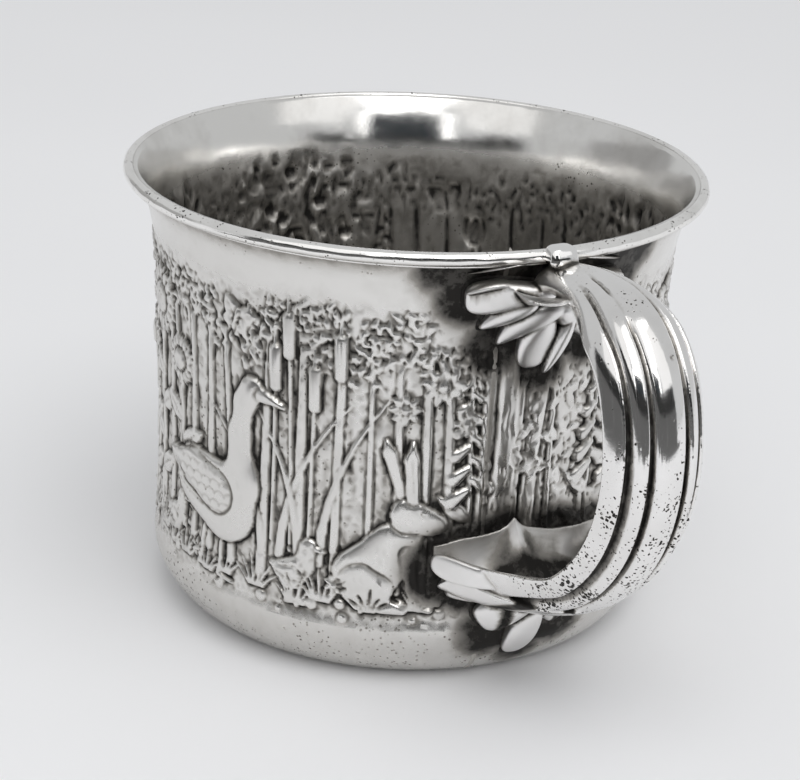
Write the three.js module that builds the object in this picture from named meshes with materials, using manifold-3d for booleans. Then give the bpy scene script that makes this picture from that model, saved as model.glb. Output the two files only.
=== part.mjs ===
// Child's cup in silver. A sheet wall is rolled and seamed, turned in at a rounded heel and flared
// at the mouth; a flat bottom is let into it, a moulded wire runs round the lip, and a cast, fluted
// and hollow-backed handle is soldered on at two leaf-shaped ends.
// Millimetres, +Z up. The origin is on the table under the middle of the bottom, the handle at +X.
import * as THREE from 'three';
import { mergeVertices } from 'three/addons/utils/BufferGeometryUtils.js';
import Module from 'manifold-3d';

const wasm = await Module();
wasm.setup();

// Driving dimensions of the wall, the bottom and the lip.
const lipHeight = 65.4; // top of the lip above the table
const sheetGauge = 0.7; // thickness of the rolled wall
const bottomGauge = 0.9; // thickness of the flat bottom
const bottomRadius = 29.4; // where the wall starts to round up from the table
const flangeWidth = 2.0; // width of the wall's flat flange, turned in under the cup
const heelRadius = 37.0; // outside of the heel, the fullest part of the rounded corner
const heelHeight = 8.8; // height of that corner
const waistRadius = 36.2; // outside of the wall at its narrowest
const neckRadius = 37.2; // outside of the wall where the flare begins
const flareHeight = 15.4; // height of the flare, down from the lip
const mouthRadius = 40.9; // outside of the wall's own top edge
const wireStand = 1.1; // how far the lip wire stands out past that edge
const wireTop = 0.3; // how far the wire's roll rises over the wall's edge
const upperRoll = 0.95; // radius of the wire's upper roll
const lowerRoll = 0.55; // radius of its lower roll
const solderLine = 0.1; // clearance in a joint between two turned pieces
const seamAngle = THREE.MathUtils.degToRad(-10.3); // place of the wall's seam, beside the handle
const seamWidth = 0.7; // width of the solder that fills the seam
const beadWidth = 2.4; // width of the solder bead inside the bottom corner
const beadHeight = 0.7;
const reliefSink = 0.3; // how deep the frieze's forms are rooted in the wall
const finestStep = 0.03; // a step in the frieze smaller than this gets no facet of its own

// Driving dimensions of the handle.
const handleReach = 69.8; // furthest point of the handle from the cup's axis
const handleDrop = 1.6; // how far the strap's top starts below the lip
const bellyHeight = 44.3; // height of that furthest point
const footHeight = 12.7; // where the middle of the strap comes back to the wall
const strapHalfWidth = 7.3;
const strapCrown = 4.6; // how far the middle strand stands out past the strap's edges
const strapThickness = 1.7;
const fluteDepth = 0.7;
const innerStrand = 2.5; // the middle strand's half width
const outerStrand = 5.0; // how far the next strand reaches from the middle
const rootHalfWidth = 3.9; // strap's half width at the lip
const footHalfWidth = 12.6; // half width of the scoop at the wall
const footCrown = 8.2; // depth of the scoop at the wall
const knobRadius = 2.1; // thumb nub that laps over the lip
const knobRise = 1.1; // how far the nub stands above the lip
const strapBury = 2.6; // how far the strap's start is sunk behind the lip's edge
const shoulderRise = 8.4; // lift of the strap's shoulder, which sets how round its top is
const shoulderDrop = 6.8; // length of the straight run above the belly
const bellyDrop = 13; // length of the straight run below it
const footPull = 9.8; // how far the lower bend is drawn in from the belly
const footLift = 4.5; // its height above the foot
const footBury = 1.5; // how far the strap's end is sunk in the heel
const bedGap = 0.2; // clearance between the wall and a solder bed
const bedThickness = 0.3;
const castingGap = 0.3; // clearance between a solder bed and the casting
const bedMargin = 0.5; // how far a solder bed shows round its leaves

const turns = 48; // facets round the cup
const wallTop = lipHeight - wireTop;
const lipRadius = mouthRadius + wireStand;
const seatRadius = bottomRadius - flangeWidth; // where the bottom is let in

// The cup's outline, from the table up to the wall's top edge, as one curve of three stretches.
const outline = new THREE.CurvePath();
outline.add(new THREE.EllipseCurve(
  bottomRadius, heelHeight, heelRadius - bottomRadius, heelHeight, -Math.PI / 2, 0,
));
const neckHeight = lipHeight - flareHeight;
outline.add(new THREE.CubicBezierCurve(
  new THREE.Vector2(heelRadius, heelHeight),
  new THREE.Vector2(heelRadius, heelHeight + (neckHeight - heelHeight) * 0.12),
  new THREE.Vector2(waistRadius - (neckRadius - waistRadius) * 0.6, heelHeight
    + (neckHeight - heelHeight) * 0.28),
  new THREE.Vector2(neckRadius, neckHeight),
));
outline.add(new THREE.QuadraticBezierCurve(
  new THREE.Vector2(neckRadius, neckHeight),
  new THREE.Vector2(neckRadius + (mouthRadius - neckRadius) * 0.12, wallTop - flareHeight * 0.32),
  new THREE.Vector2(mouthRadius, wallTop),
));

// Points along the outline, moved outwards by offset, which is negative for the inner face.
function outlinePoints(offset) {
  const points = [];
  const steps = 6;
  for (const stretch of outline.curves) {
    for (let i = points.length ? 1 : 0; i <= steps; i += 1) {
      const at = stretch.getPoint(i / steps);
      const along = stretch.getTangent(i / steps);
      const height = Math.min(at.y - along.x * offset, wallTop);
      points.push(new THREE.Vector2(at.x + along.y * offset, height));
    }
  }
  return points;
}

// Outside radius of the wall at a height.
const outside = outlinePoints(0);
function wallRadius(height) {
  for (let i = 1; i < outside.length; i += 1) {
    const [low, high] = [outside[i - 1], outside[i]];
    if (height <= high.y || i === outside.length - 1) {
      return THREE.MathUtils.mapLinear(height, low.y, high.y, low.x, high.x);
    }
  }
  return mouthRadius;
}

function arc(x, y, radius, from, to, steps) {
  const points = [];
  for (let i = 0; i <= steps; i += 1) {
    const angle = THREE.MathUtils.degToRad(THREE.MathUtils.lerp(from, to, i / steps));
    points.push(new THREE.Vector2(x + radius * Math.cos(angle), y + radius * Math.sin(angle)));
  }
  return points;
}

// A solid turned about the cup's axis.
function turned(profile, closed = true) {
  const points = closed ? [...profile, profile[0]] : profile;
  return new THREE.LatheGeometry(points, turns).rotateX(Math.PI / 2);
}

function solidOf(geometry) {
  const bare = geometry.clone();
  bare.deleteAttribute('normal');
  bare.deleteAttribute('uv');
  const merged = mergeVertices(bare, 1e-4);
  const mesh = new wasm.Mesh({
    numProp: 3,
    vertProperties: new Float32Array(merged.attributes.position.array),
    triVerts: new Uint32Array(merged.index.array),
  });
  mesh.merge();
  return new wasm.Manifold(mesh);
}

function geometryOf(solid) {
  const mesh = solid.getMesh();
  const geometry = new THREE.BufferGeometry();
  geometry.setAttribute('position', new THREE.BufferAttribute(mesh.vertProperties, 3));
  geometry.setIndex(new THREE.BufferAttribute(mesh.triVerts, 1));
  geometry.computeVertexNormals();
  return geometry;
}

// Wall: sheet between the outline and its inner offset, with a flat flange turned in underneath.
function wallSolid() {
  const inside = outlinePoints(-sheetGauge).reverse();
  const flange = [new THREE.Vector2(seatRadius, sheetGauge), new THREE.Vector2(seatRadius, 0)];
  return solidOf(turned([...outside, ...inside, ...flange]));
}

// A thin upright slice through one side of the cup, where the seam runs.
function seamSlice(width) {
  const slice = new THREE.BoxGeometry(handleReach, width, lipHeight * 1.2);
  slice.translate(handleReach / 2 + seatRadius / 2, 0, lipHeight / 2);
  slice.rotateZ(seamAngle);
  return solidOf(slice);
}

// Lip wire: its inner side follows the wall's flare, its outer side is a large and a small roll.
function lipWireProfile() {
  const upperHeight = lipHeight - upperRoll;
  const lowerHeight = upperHeight - upperRoll - lowerRoll * 0.9;
  const lowerRadius = wallRadius(lowerHeight) + lowerRoll * 0.75;
  const seat = outlinePoints(solderLine).filter((point) => point.y > lowerHeight - lowerRoll * 0.6);
  return [
    ...arc(lowerRadius, lowerHeight, lowerRoll, -80, 50, 3),
    ...arc(lipRadius - upperRoll, upperHeight, upperRoll, -75, 90, 6),
    ...seat.reverse(),
  ];
}

// Everything that the handle must stay clear of: the whole cup and its lip wire, grown by a gap.
function cupEnvelope(gap) {
  const lip = [
    new THREE.Vector2(lipRadius + gap, lipHeight - 2 * upperRoll - 2 * lowerRoll),
    new THREE.Vector2(lipRadius + gap, lipHeight - upperRoll * 0.5),
    new THREE.Vector2(lipRadius - upperRoll * 0.5, lipHeight + gap),
    new THREE.Vector2(0, lipHeight + gap),
  ];
  const side = outlinePoints(gap).filter((point) => point.y < lip[0].y);
  const foot = [new THREE.Vector2(0, -gap), new THREE.Vector2(bottomRadius, -gap)];
  return solidOf(turned([...foot, ...side.slice(1), ...lip], false));
}

// Handle path, in the plane of X and Z: the crown of the middle strand from the lip to the foot.
const handleTop = lipHeight - handleDrop;
const strapPath = new THREE.CurvePath();
strapPath.add(new THREE.CubicBezierCurve(
  new THREE.Vector2(lipRadius - strapBury, handleTop - upperRoll),
  new THREE.Vector2(handleReach - strapBury, handleTop + shoulderRise),
  new THREE.Vector2(handleReach, bellyHeight + shoulderDrop),
  new THREE.Vector2(handleReach, bellyHeight),
));
strapPath.add(new THREE.CubicBezierCurve(
  new THREE.Vector2(handleReach, bellyHeight),
  new THREE.Vector2(handleReach, bellyHeight - bellyDrop),
  new THREE.Vector2(handleReach - footPull, footHeight + footLift),
  new THREE.Vector2(heelRadius - footBury, footHeight - footBury),
));

// Depth of the strap's crowned section below its middle, at a distance across it.
function crownAt(across) {
  const radius = (strapHalfWidth ** 2 + strapCrown ** 2) / (2 * strapCrown);
  return radius - Math.sqrt(Math.max(radius ** 2 - across ** 2, 0));
}

// The strap's section: five convex strands outside, a plain hollow inside.
function strapSection() {
  const edges = [-strapHalfWidth, -outerStrand, -innerStrand, innerStrand, outerStrand,
    strapHalfWidth];
  const points = [];
  for (let strand = 0; strand < edges.length - 1; strand += 1) {
    for (const share of [0, 0.25, 0.75]) {
      const across = THREE.MathUtils.lerp(edges[strand], edges[strand + 1], share);
      const groove = share === 0 && strand > 0 ? fluteDepth : 0;
      points.push(new THREE.Vector2(across, -crownAt(across) - groove));
    }
  }
  points.push(new THREE.Vector2(strapHalfWidth, -strapCrown));
  const inner = strapHalfWidth - strapThickness * 0.35;
  for (let i = 0; i <= 4; i += 1) {
    const across = THREE.MathUtils.lerp(inner, -inner, i / 4);
    points.push(new THREE.Vector2(across, -crownAt(across) - strapThickness));
  }
  return new THREE.Shape(points);
}

// The section is drawn out straight, then every ring of it is laid on the path: narrow at the lip,
// at its full width round the grip, and spread into a scoop at the foot.
function strapSolid() {
  const steps = 30;
  const length = 1;
  const strap = new THREE.ExtrudeGeometry(strapSection(), {
    depth: length, steps, bevelEnabled: false,
  });
  const position = strap.attributes.position;
  for (let i = 0; i < position.count; i += 1) {
    const share = position.getZ(i) / length;
    const half = share < 0.5 ? strapPath.curves[0] : strapPath.curves[1];
    const at = half.getPoint(share < 0.5 ? share * 2 : share * 2 - 1);
    const along = half.getTangent(share < 0.5 ? share * 2 : share * 2 - 1);
    const root = 1 - THREE.MathUtils.smoothstep(share, 0, 0.2);
    const foot = THREE.MathUtils.smoothstep(share, 0.8, 1);
    const width = 1 + root * (rootHalfWidth / strapHalfWidth - 1)
      + foot * (footHalfWidth / strapHalfWidth - 1);
    const crown = width + foot * (footCrown / strapCrown - width);
    const below = crownAt(position.getX(i));
    const depth = below * crown - position.getY(i) - below;
    const across = position.getX(i) * width;
    position.setXYZ(i, at.x + along.y * depth, across, at.y - along.x * depth);
  }
  return solidOf(strap);
}

// A leaf that lies on the wall from its root to its tip. Places are [round the wall, height].
function leafSolid({ root, tip, width, rootRise, tipRise, taper = 0.3 }, margin = 0) {
  const leaf = new THREE.SphereGeometry(1, 10, 6);
  const position = leaf.attributes.position;
  const length = Math.hypot(tip[0] - root[0], tip[1] - root[1]);
  const forward = [(tip[0] - root[0]) / length, (tip[1] - root[1]) / length];
  for (let i = 0; i < position.count; i += 1) {
    const along = (position.getY(i) + 1) / 2;
    const reach = along * (length + margin);
    const side = position.getX(i) * (width / 2 + margin) * (1 - taper * position.getY(i));
    const round = root[0] + forward[0] * reach + forward[1] * side;
    const height = root[1] + forward[1] * reach - forward[0] * side;
    const rise = THREE.MathUtils.lerp(rootRise, tipRise, along) * (0.1 + 0.9 * position.getZ(i));
    const angle = round / wallRadius(height);
    const radius = wallRadius(height) + rise;
    position.setXYZ(i, radius * Math.cos(angle), radius * Math.sin(angle), height);
  }
  return solidOf(leaf);
}

// The same leaf on the left and on the right of the handle.
function pair(leaf) {
  const [root, tip] = [leaf.root, leaf.tip];
  return [leaf, { ...leaf, root: [-root[0], root[1]], tip: [-tip[0], tip[1]] }];
}

const topLeaves = [
  ...pair({
    root: [-0.5, handleTop - 1.4], tip: [-11.6, handleTop - 6.2], width: 4.6,
    rootRise: 5.4, tipRise: 2.6, taper: -0.1,
  }),
  ...pair({
    root: [-0.5, handleTop - 3], tip: [-9.2, handleTop - 10], width: 2.6, rootRise: 4.6, tipRise: 1.8,
  }),
  ...pair({
    root: [-0.3, handleTop - 4], tip: [-6.2, handleTop - 12.8], width: 3.2, rootRise: 4, tipRise: 1.8,
  }),
  { root: [0, handleTop - 4], tip: [0, handleTop - 17.4], width: 6, rootRise: 4, tipRise: 1.6 },
];

const footLeaves = [
  ...pair({
    root: [-3, footHeight + 4], tip: [-13.2, footHeight + 6.4], width: 6.4,
    rootRise: 5.5, tipRise: 2.8, taper: -0.15,
  }),
  ...pair({
    root: [-2, footHeight + 1.6], tip: [-11.4, footHeight + 1.6], width: 2.8,
    rootRise: 4.4, tipRise: 1.8,
  }),
  ...pair({
    root: [-0.4, footHeight + 1], tip: [-6.4, footHeight - 4], width: 4.4, rootRise: 3.8, tipRise: 1.6,
  }),
  { root: [0, footHeight + 1], tip: [0, footHeight - 8.2], width: 3.6, rootRise: 3.8, tipRise: 1.4 },
  { root: [0, footHeight + 2], tip: [0, footHeight + 12], width: 17, rootRise: 3.4, tipRise: 1.3 },
];

const union = (solids) => solids.reduce((sum, solid) => sum.add(solid));

// Frieze: the main forms of the chased relief, as low domes rooted in the wall. A stroke runs from
// one place to another, each [round the wall, height, half width], and rises to its own height.
function strokeSolid([from, to, rise], facets = 8, rings = 4) {
  const dome = new THREE.SphereGeometry(1, facets, rings);
  const position = dome.attributes.position;
  const length = Math.max(Math.hypot(to[0] - from[0], to[1] - from[1]), solderLine);
  const forward = [(to[0] - from[0]) / length, (to[1] - from[1]) / length];
  for (let i = 0; i < position.count; i += 1) {
    const along = (position.getY(i) + 1) / 2;
    const reach = THREE.MathUtils.lerp(-from[2], length + to[2], along);
    const side = position.getX(i) * THREE.MathUtils.lerp(from[2], to[2], along);
    const up = position.getZ(i);
    const round = from[0] + forward[0] * reach + forward[1] * side;
    const height = from[1] + forward[1] * reach - forward[0] * side;
    const radius = wallRadius(height) - reliefSink / 2 + up * (up > 0 ? rise + reliefSink / 2 : reliefSink);
    const angle = round / wallRadius(height);
    position.setXYZ(i, radius * Math.cos(angle), radius * Math.sin(angle), height);
  }
  return solidOf(dome);
}

// Strokes of each animal about its own middle, for one that faces along the wall.
const bodyRise = 1.0;
const limbRise = 0.55;
const animals = {
  goose: [
    [[-8.4, -2.8, 1.2], [1.8, -4.4, 5.0], bodyRise], [[0, -4.6, 4.8], [4.6, -0.4, 2.8], bodyRise],
    [[4.5, 0, 2.1], [5.2, 9.6, 1.5], bodyRise], [[5.4, 10.8, 1.7], [10.4, 10.6, 0.6], bodyRise],
    [[0, -8, 1.6], [0, -15, 1.2], limbRise],
  ],
  gosling: [
    [[-2.4, -0.8, 1.4], [0.6, -0.6, 1.9], limbRise], [[1.2, 0.6, 1.2], [2, 3, 1.2], limbRise],
  ],
  rabbit: [
    [[-2.6, -3.6, 4.2], [0.6, -1.6, 3.6], bodyRise], [[1.2, 0.4, 2.8], [3.2, 3.8, 2.2], bodyRise],
    [[3.4, 5.6, 2.3], [7, 4.6, 1.2], bodyRise], [[2.8, 8, 1.4], [2.2, 15, 1.1], limbRise],
    [[3.4, 0, 1.1], [4.9, -7, 0.9], bodyRise],
  ],
  lamb: [
    [[-4.6, 0.2, 3.8], [3.8, 0.4, 3.8], bodyRise], [[5, 2.4, 2.4], [10.4, 4.2, 1.2], bodyRise],
    [[-4.2, -4, 1.6], [-3.6, -9.6, 1.1], limbRise], [[4.2, -4, 1.6], [4.9, -9.6, 1.1], limbRise],
  ],
  hen: [
    [[-2.6, -0.8, 3.3], [1.8, -1.4, 3.5], bodyRise], [[2.4, 0, 2.3], [4.2, 4.8, 1.4], bodyRise],
    [[-3.6, 1, 1.8], [-7, 4, 1.5], limbRise],
  ],
  stork: [
    [[-6.6, -2.6, 1.1], [1.6, 1, 2.9], bodyRise], [[2.6, 2, 1.5], [2.8, 11.4, 1.0], bodyRise],
    [[4.4, 13.6, 1.4], [11.6, 10.8, 0.4], limbRise], [[0.2, -4, 0.6], [0, -19, 0.6], limbRise],
  ],
};

// Where the animals stand: kind, place round the wall, height, size and the way each one faces.
const standing = [
  ['goose', -47.5, 28.5, 1.12, 1], ['gosling', -57.5, 17.5, 1, 1], ['gosling', -33, 17, 1.1, 1],
  ['rabbit', -20.5, 20.5, 1.08, 1], ['rabbit', 25.5, 20.5, 1.05, -1], ['lamb', 79, 24, 1.15, -1],
  ['hen', 97, 22, 1.25, 1], ['gosling', 107, 17, 0.8, 1], ['gosling', 88.5, 16.6, 0.8, 1],
  ['stork', -101, 33, 1, 1],
];

function animalStrokes([kind, round, height, size, facing]) {
  const placed = ([x, y, half]) => [round + x * size * facing, height + y * size, half * size];
  return animals[kind].map(([from, to, rise]) => [placed(from), placed(to), rise]);
}

// A tree: trunk, two boughs and a crown of four masses of leaves.
function treeStrokes([round, foot, top, crown]) {
  const tall = top - foot;
  const middle = top - tall * 0.2;
  const mass = (x, y) => [[round + x * crown, middle + y * tall, crown * 0.36],
    [round + x * crown + crown * 0.12, middle + y * tall, crown * 0.36], limbRise];
  return [
    [[round, foot, 2.2], [round, foot + tall * 0.6, 1.3], bodyRise * 0.8],
    mass(-0.6, 0), mass(0.5, 0), mass(-0.1, 0.12), mass(0, -0.08),
  ];
}

// A tall flower: its stem and its head.
function flowerStrokes([round, height, head, foot]) {
  return [
    [[round, foot, 0.5], [round, height, 0.5], limbRise * 0.8],
    [[round, height - head * 0.1, head * 0.85], [round, height + head * 0.1, head * 0.85], bodyRise * 0.8],
  ];
}

const trees = [[-84, 14, 56, 12.5], [51, 14, 56, 12], [118, 13, 55, 11.5]];
const flowers = [
  [-63, 48, 5.4, 15], [-71, 40, 4.4, 15], [-56.2, 41, 3.8, 16], [-37, 45.5, 1.6, 20],
  [-34, 50.5, 1.6, 20], [-31.2, 43.5, 1.6, 20], [-27.8, 48.5, 1.6, 20], [21, 44.5, 2.6, 18],
  [36.5, 45, 2.4, 24], [88, 44.5, 2.6, 17], [-112, 40.5, 2.6, 15],
];

// Foxgloves, the hive and the sheaf are each a stroke or two of their own.
const spires = [
  [[-9.2, 30, 2.2], [-9.5, 43, 1.4], limbRise], [[10.6, 32, 2.2], [11, 43, 1.4], limbRise],
  [[15.4, 27, 2.2], [16, 41, 1.0], limbRise], [[103.4, 30, 2.2], [103, 44, 1.0], limbRise],
  [[37.5, 24, 4.6], [37.5, 33, 2.4], bodyRise * 0.8], [[60, 15, 3.8], [60, 24, 2], limbRise],
  [[60, 23, 2.2], [60, 35, 5.4], limbRise],
];

// The wood behind: slim trunks at an uneven spacing, under masses of small leaves.
const trunkSpacing = 4.6;
const canopySpacing = 9;
const girth = 2 * Math.PI * heelRadius;
function woodStrokes() {
  const strokes = [];
  for (let i = 0; i * trunkSpacing < girth - trunkSpacing; i += 2) {
    const round = i * trunkSpacing - girth / 2 + 1.6 * Math.sin(7 * i);
    strokes.push([[round, 15.5, 0.8], [round, neckHeight - 2, 0.6], 0.42]);
  }
  for (let i = 0; i * canopySpacing < girth - canopySpacing; i += 1) {
    const round = i * canopySpacing - girth / 2 + 2 * Math.sin(5 * i);
    const height = neckHeight + 2 * Math.sin(3 * i);
    strokes.push([[round - 2.2, height, 2.8], [round + 2.2, height, 2.8], 0.36]);
  }
  return strokes;
}

// The frieze stops short of the leaves and the solder at both ends of the handle.
function friezeSolid() {
  const main = [...standing.flatMap(animalStrokes), ...trees.flatMap(treeStrokes),
    ...flowers.flatMap(flowerStrokes), ...spires];
  const forms = [...main.map((stroke) => strokeSolid(stroke)),
    ...woodStrokes().map((stroke) => strokeSolid(stroke, 6, 3))];
  const leaves = [...topLeaves, ...footLeaves];
  const kept = union(leaves.map((leaf) => leafSolid(leaf, bedMargin + castingGap)));
  return union(forms).subtract(kept);
}

function knobSolid() {
  const knob = new THREE.SphereGeometry(knobRadius, 12, 8);
  knob.translate(lipRadius + knobRadius * 0.35, 0, lipHeight + knobRise - knobRadius);
  return solidOf(knob);
}

// Handle: strap, nub and leaves are one casting, cut back to stand clear of its solder beds.
function handleSolid() {
  const leaves = [...topLeaves, ...footLeaves].map((leaf) => leafSolid(leaf));
  const casting = union([strapSolid(), knobSolid(), ...leaves]);
  return casting.subtract(cupEnvelope(bedGap + bedThickness + castingGap));
}

// Solder bed: the leaves' footprint and a margin round it, a thin layer that lies on the wall.
function solderBed(leaves) {
  const layer = cupEnvelope(bedGap + bedThickness).subtract(cupEnvelope(bedGap));
  return union(leaves.map((leaf) => leafSolid(leaf, bedMargin))).intersect(layer);
}

function material(colour, roughness) {
  return new THREE.MeshStandardMaterial({ color: colour, roughness, metalness: 1 });
}

const cup = new THREE.Group();
function add(name, geometry, colour, roughness) {
  const mesh = new THREE.Mesh(geometry, material(colour, roughness));
  mesh.name = name;
  cup.add(mesh);
}

const sheet = wallSolid();
const chased = sheet.add(friezeSolid()).subtract(seamSlice(seamWidth + 2 * solderLine));
add('wall', geometryOf(chased.simplify(finestStep)), 0xc9c8c4, 0.28);
add('wall_seam_solder', geometryOf(sheet.intersect(seamSlice(seamWidth))), 0xa9a6a0, 0.4);

add('lip_wire', turned(lipWireProfile()), 0xd2d0cb, 0.22);

const bottomEdge = seatRadius - solderLine;
add('bottom', turned([
  new THREE.Vector2(0, 0), new THREE.Vector2(bottomEdge, 0),
  new THREE.Vector2(bottomEdge, bottomGauge), new THREE.Vector2(0, bottomGauge),
], false), 0xbfbdb8, 0.3);

const beadFloor = Math.max(bottomGauge, sheetGauge) + solderLine;
add('bottom_solder', turned([
  new THREE.Vector2(seatRadius - beadWidth / 2, beadFloor),
  new THREE.Vector2(seatRadius + beadWidth / 2, beadFloor),
  new THREE.Vector2(seatRadius + beadWidth / 4, beadFloor + beadHeight),
  new THREE.Vector2(seatRadius - beadWidth / 4, beadFloor + beadHeight),
]), 0x9f9c96, 0.45);

add('handle', geometryOf(handleSolid()), 0xcfcdc8, 0.2);
add('handle_top_solder', geometryOf(solderBed(topLeaves)), 0x8f8c86, 0.5);
add('handle_foot_solder', geometryOf(solderBed(footLeaves)), 0x8f8c86, 0.5);

export default cup;
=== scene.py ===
# %% [markdown]
# # A child's cup in silver, rebuilt in Blender
# The cup is a rolled silver sheet, chased all round with a garden frieze, with a plain bottom, a
# wire round the lip and a cast, fluted handle. The CAD model gives every size. This script loads it
# as a fixed frame and puts a finely detailed mesh in the place of each of its pieces.

# %% Load the frame and keep its box
import math
from contextlib import contextmanager

import bmesh
import bpy
import numpy as np
from mathutils import Matrix, Vector


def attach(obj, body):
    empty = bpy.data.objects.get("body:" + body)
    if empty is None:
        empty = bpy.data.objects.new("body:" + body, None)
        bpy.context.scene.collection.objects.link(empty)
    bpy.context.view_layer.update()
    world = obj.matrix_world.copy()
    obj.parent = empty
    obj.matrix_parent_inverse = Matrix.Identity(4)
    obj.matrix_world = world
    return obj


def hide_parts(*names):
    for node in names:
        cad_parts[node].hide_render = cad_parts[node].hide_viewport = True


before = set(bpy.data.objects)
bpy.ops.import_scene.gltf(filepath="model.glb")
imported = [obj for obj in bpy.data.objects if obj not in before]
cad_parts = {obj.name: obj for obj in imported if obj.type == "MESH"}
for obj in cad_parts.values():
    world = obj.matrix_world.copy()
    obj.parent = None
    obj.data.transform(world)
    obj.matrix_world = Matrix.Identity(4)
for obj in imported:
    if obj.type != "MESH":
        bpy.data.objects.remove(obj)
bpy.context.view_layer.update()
MM = 0.001
print("nodes in the frame:", sorted(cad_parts))

# %% [markdown]
# ## The camera
# The photograph looks down on the cup by about 22 degrees, from the handle side, with a lens of
# about 100 mm. The camera is built from that aim, distance and slight roll, so that a size in the
# frame and a size in the photograph agree.

# %% Camera
AIM = Vector((0, 0, 30.545)) * MM
CAMERA_TURN, CAMERA_TILT, CAMERA_ROLL = map(math.radians, (-28.0, 21.664, 2.581))
CAMERA_DISTANCE, SHIFT_LEFT, SHIFT_DOWN = 334.83, 1.011, 0.304
LENS_LENGTH, SENSOR_WIDTH = 100.83, 36.0


def in_scene(name, data):
    """Puts a new object in the scene."""
    made = bpy.data.objects.new(name, data)
    bpy.context.scene.collection.objects.link(made)
    return made


back = Vector((math.cos(CAMERA_TILT) * math.cos(CAMERA_TURN),
               math.cos(CAMERA_TILT) * math.sin(CAMERA_TURN), math.sin(CAMERA_TILT)))
level = Vector((-math.sin(CAMERA_TURN), math.cos(CAMERA_TURN), 0))
upward = back.cross(level)
side = level * math.cos(CAMERA_ROLL) + upward * math.sin(CAMERA_ROLL)
top = upward * math.cos(CAMERA_ROLL) - level * math.sin(CAMERA_ROLL)
place = AIM + back * CAMERA_DISTANCE * MM - side * SHIFT_LEFT * MM - top * SHIFT_DOWN * MM

lens = bpy.data.cameras.new("camera")
lens.lens, lens.sensor_width, lens.sensor_fit = LENS_LENGTH, SENSOR_WIDTH, "HORIZONTAL"
lens.clip_start, lens.clip_end = 0.01, 20
camera = in_scene("camera", lens)
camera.matrix_world = Matrix(((*side, 0), (*top, 0), (*back, 0), (*place, 1))).transposed()
bpy.context.scene.camera = camera
bpy.context.scene.view_settings.view_transform = "Standard"
print("camera is", round(place.length / MM), "mm from the origin")

# %% [markdown]
# ## Helpers for materials
# A material is a few shader nodes. These helpers add a node and link its inputs in one line, so
# that each finish below reads as a short recipe.


# %% Material helpers
def node(tree, kind, inputs=None, **settings):
    made = tree.nodes.new(kind)
    for name, value in settings.items():
        setattr(made, name, value)
    for name, value in (inputs or {}).items():
        if isinstance(value, bpy.types.NodeSocket):
            tree.links.new(value, made.inputs[name])
        else:
            made.inputs[name].default_value = value
    return made


def maths(tree, operation, first, second=0.5, clamp=False):
    return node(tree, "ShaderNodeMath", {0: first, 1: second}, operation=operation,
                use_clamp=clamp).outputs[0]


def noise(tree, coordinates, scale, detail=3.0, roughness=0.55):
    settings = {"Vector": coordinates, "Scale": scale, "Detail": detail, "Roughness": roughness}
    return node(tree, "ShaderNodeTexNoise", settings).outputs["Fac"]


def between(tree, value, low, high, to_low=0.0, to_high=1.0):
    """A value's place between two limits, kept inside them."""
    settings = {"Value": value, "From Min": low, "From Max": high, "To Min": to_low,
                "To Max": to_high}
    return node(tree, "ShaderNodeMapRange", settings, clamp=True).outputs["Result"]


def blend_colours(tree, share, first, second):
    mix = node(tree, "ShaderNodeMix", {"Factor": share}, data_type="RGBA")
    for socket, value in ((mix.inputs[6], first), (mix.inputs[7], second)):
        if isinstance(value, bpy.types.NodeSocket):
            tree.links.new(value, socket)
        else:
            socket.default_value = (*value, 1)
    return mix.outputs[2]


# %% [markdown]
# ## The floor and the light
# The cup stands on a white board that fills the view. The sky round it is an even pale grey, which
# gives the photograph's very soft shadow. One large, weak lamp hangs high on the camera's side, a
# little to the right. A small one fills the shadow on the board in front of the cup, and the silver
# doesn't mirror it.

# %% Floor
BOARD_TONES = (0.86, 0.86, 0.87), (0.91, 0.91, 0.92)


def floor_material():
    made = bpy.data.materials.new("white_board")
    made.use_nodes = True
    tree = made.node_tree
    shader = tree.nodes["Principled BSDF"]
    mottle = noise(tree, node(tree, "ShaderNodeTexCoord").outputs["Object"], 5.0, 2.0)
    tree.links.new(blend_colours(tree, mottle, *BOARD_TONES), shader.inputs["Base Color"])
    shader.inputs["Roughness"].default_value = 0.6
    shader.inputs["Specular IOR Level"].default_value = 0
    return made


def as_mesh(made, name):
    """Ends the work on a bmesh and keeps what it made as a mesh."""
    mesh = bpy.data.meshes.new(name)
    made.to_mesh(mesh)
    made.free()
    return mesh


def flat_card(name, centre, across, along, turned):
    """A rectangle at a place, turned so that its front faces along the given direction."""
    card = bmesh.new()
    bmesh.ops.create_grid(card, x_segments=1, y_segments=1, size=0.5)
    bmesh.ops.scale(card, vec=(across * MM, along * MM, 1), verts=card.verts)
    facing = Vector(turned).to_track_quat("Z", "Y").to_matrix().to_4x4()
    in_place = Matrix.Translation(Vector(centre) * MM) @ facing
    bmesh.ops.transform(card, matrix=in_place, verts=card.verts)
    made = in_scene(name, as_mesh(card, name))
    return made


BOARD_SIZE, BOARD_GAP = 3200, 0.05
floor = flat_card("white_board", (0, 0, -BOARD_GAP), BOARD_SIZE, BOARD_SIZE, (0, 0, 1))
floor.data.materials.append(floor_material())
print("floor laid")

# %% Sky and lamps
SKY_COLOUR, SKY_STRENGTH = (0.98, 0.99, 1.0, 1), 0.605
sky = bpy.data.worlds.new("studio")
bpy.context.scene.world = sky
sky.use_nodes = True
sky.node_tree.nodes["Background"].inputs["Color"].default_value = SKY_COLOUR
sky.node_tree.nodes["Background"].inputs["Strength"].default_value = SKY_STRENGTH


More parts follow.
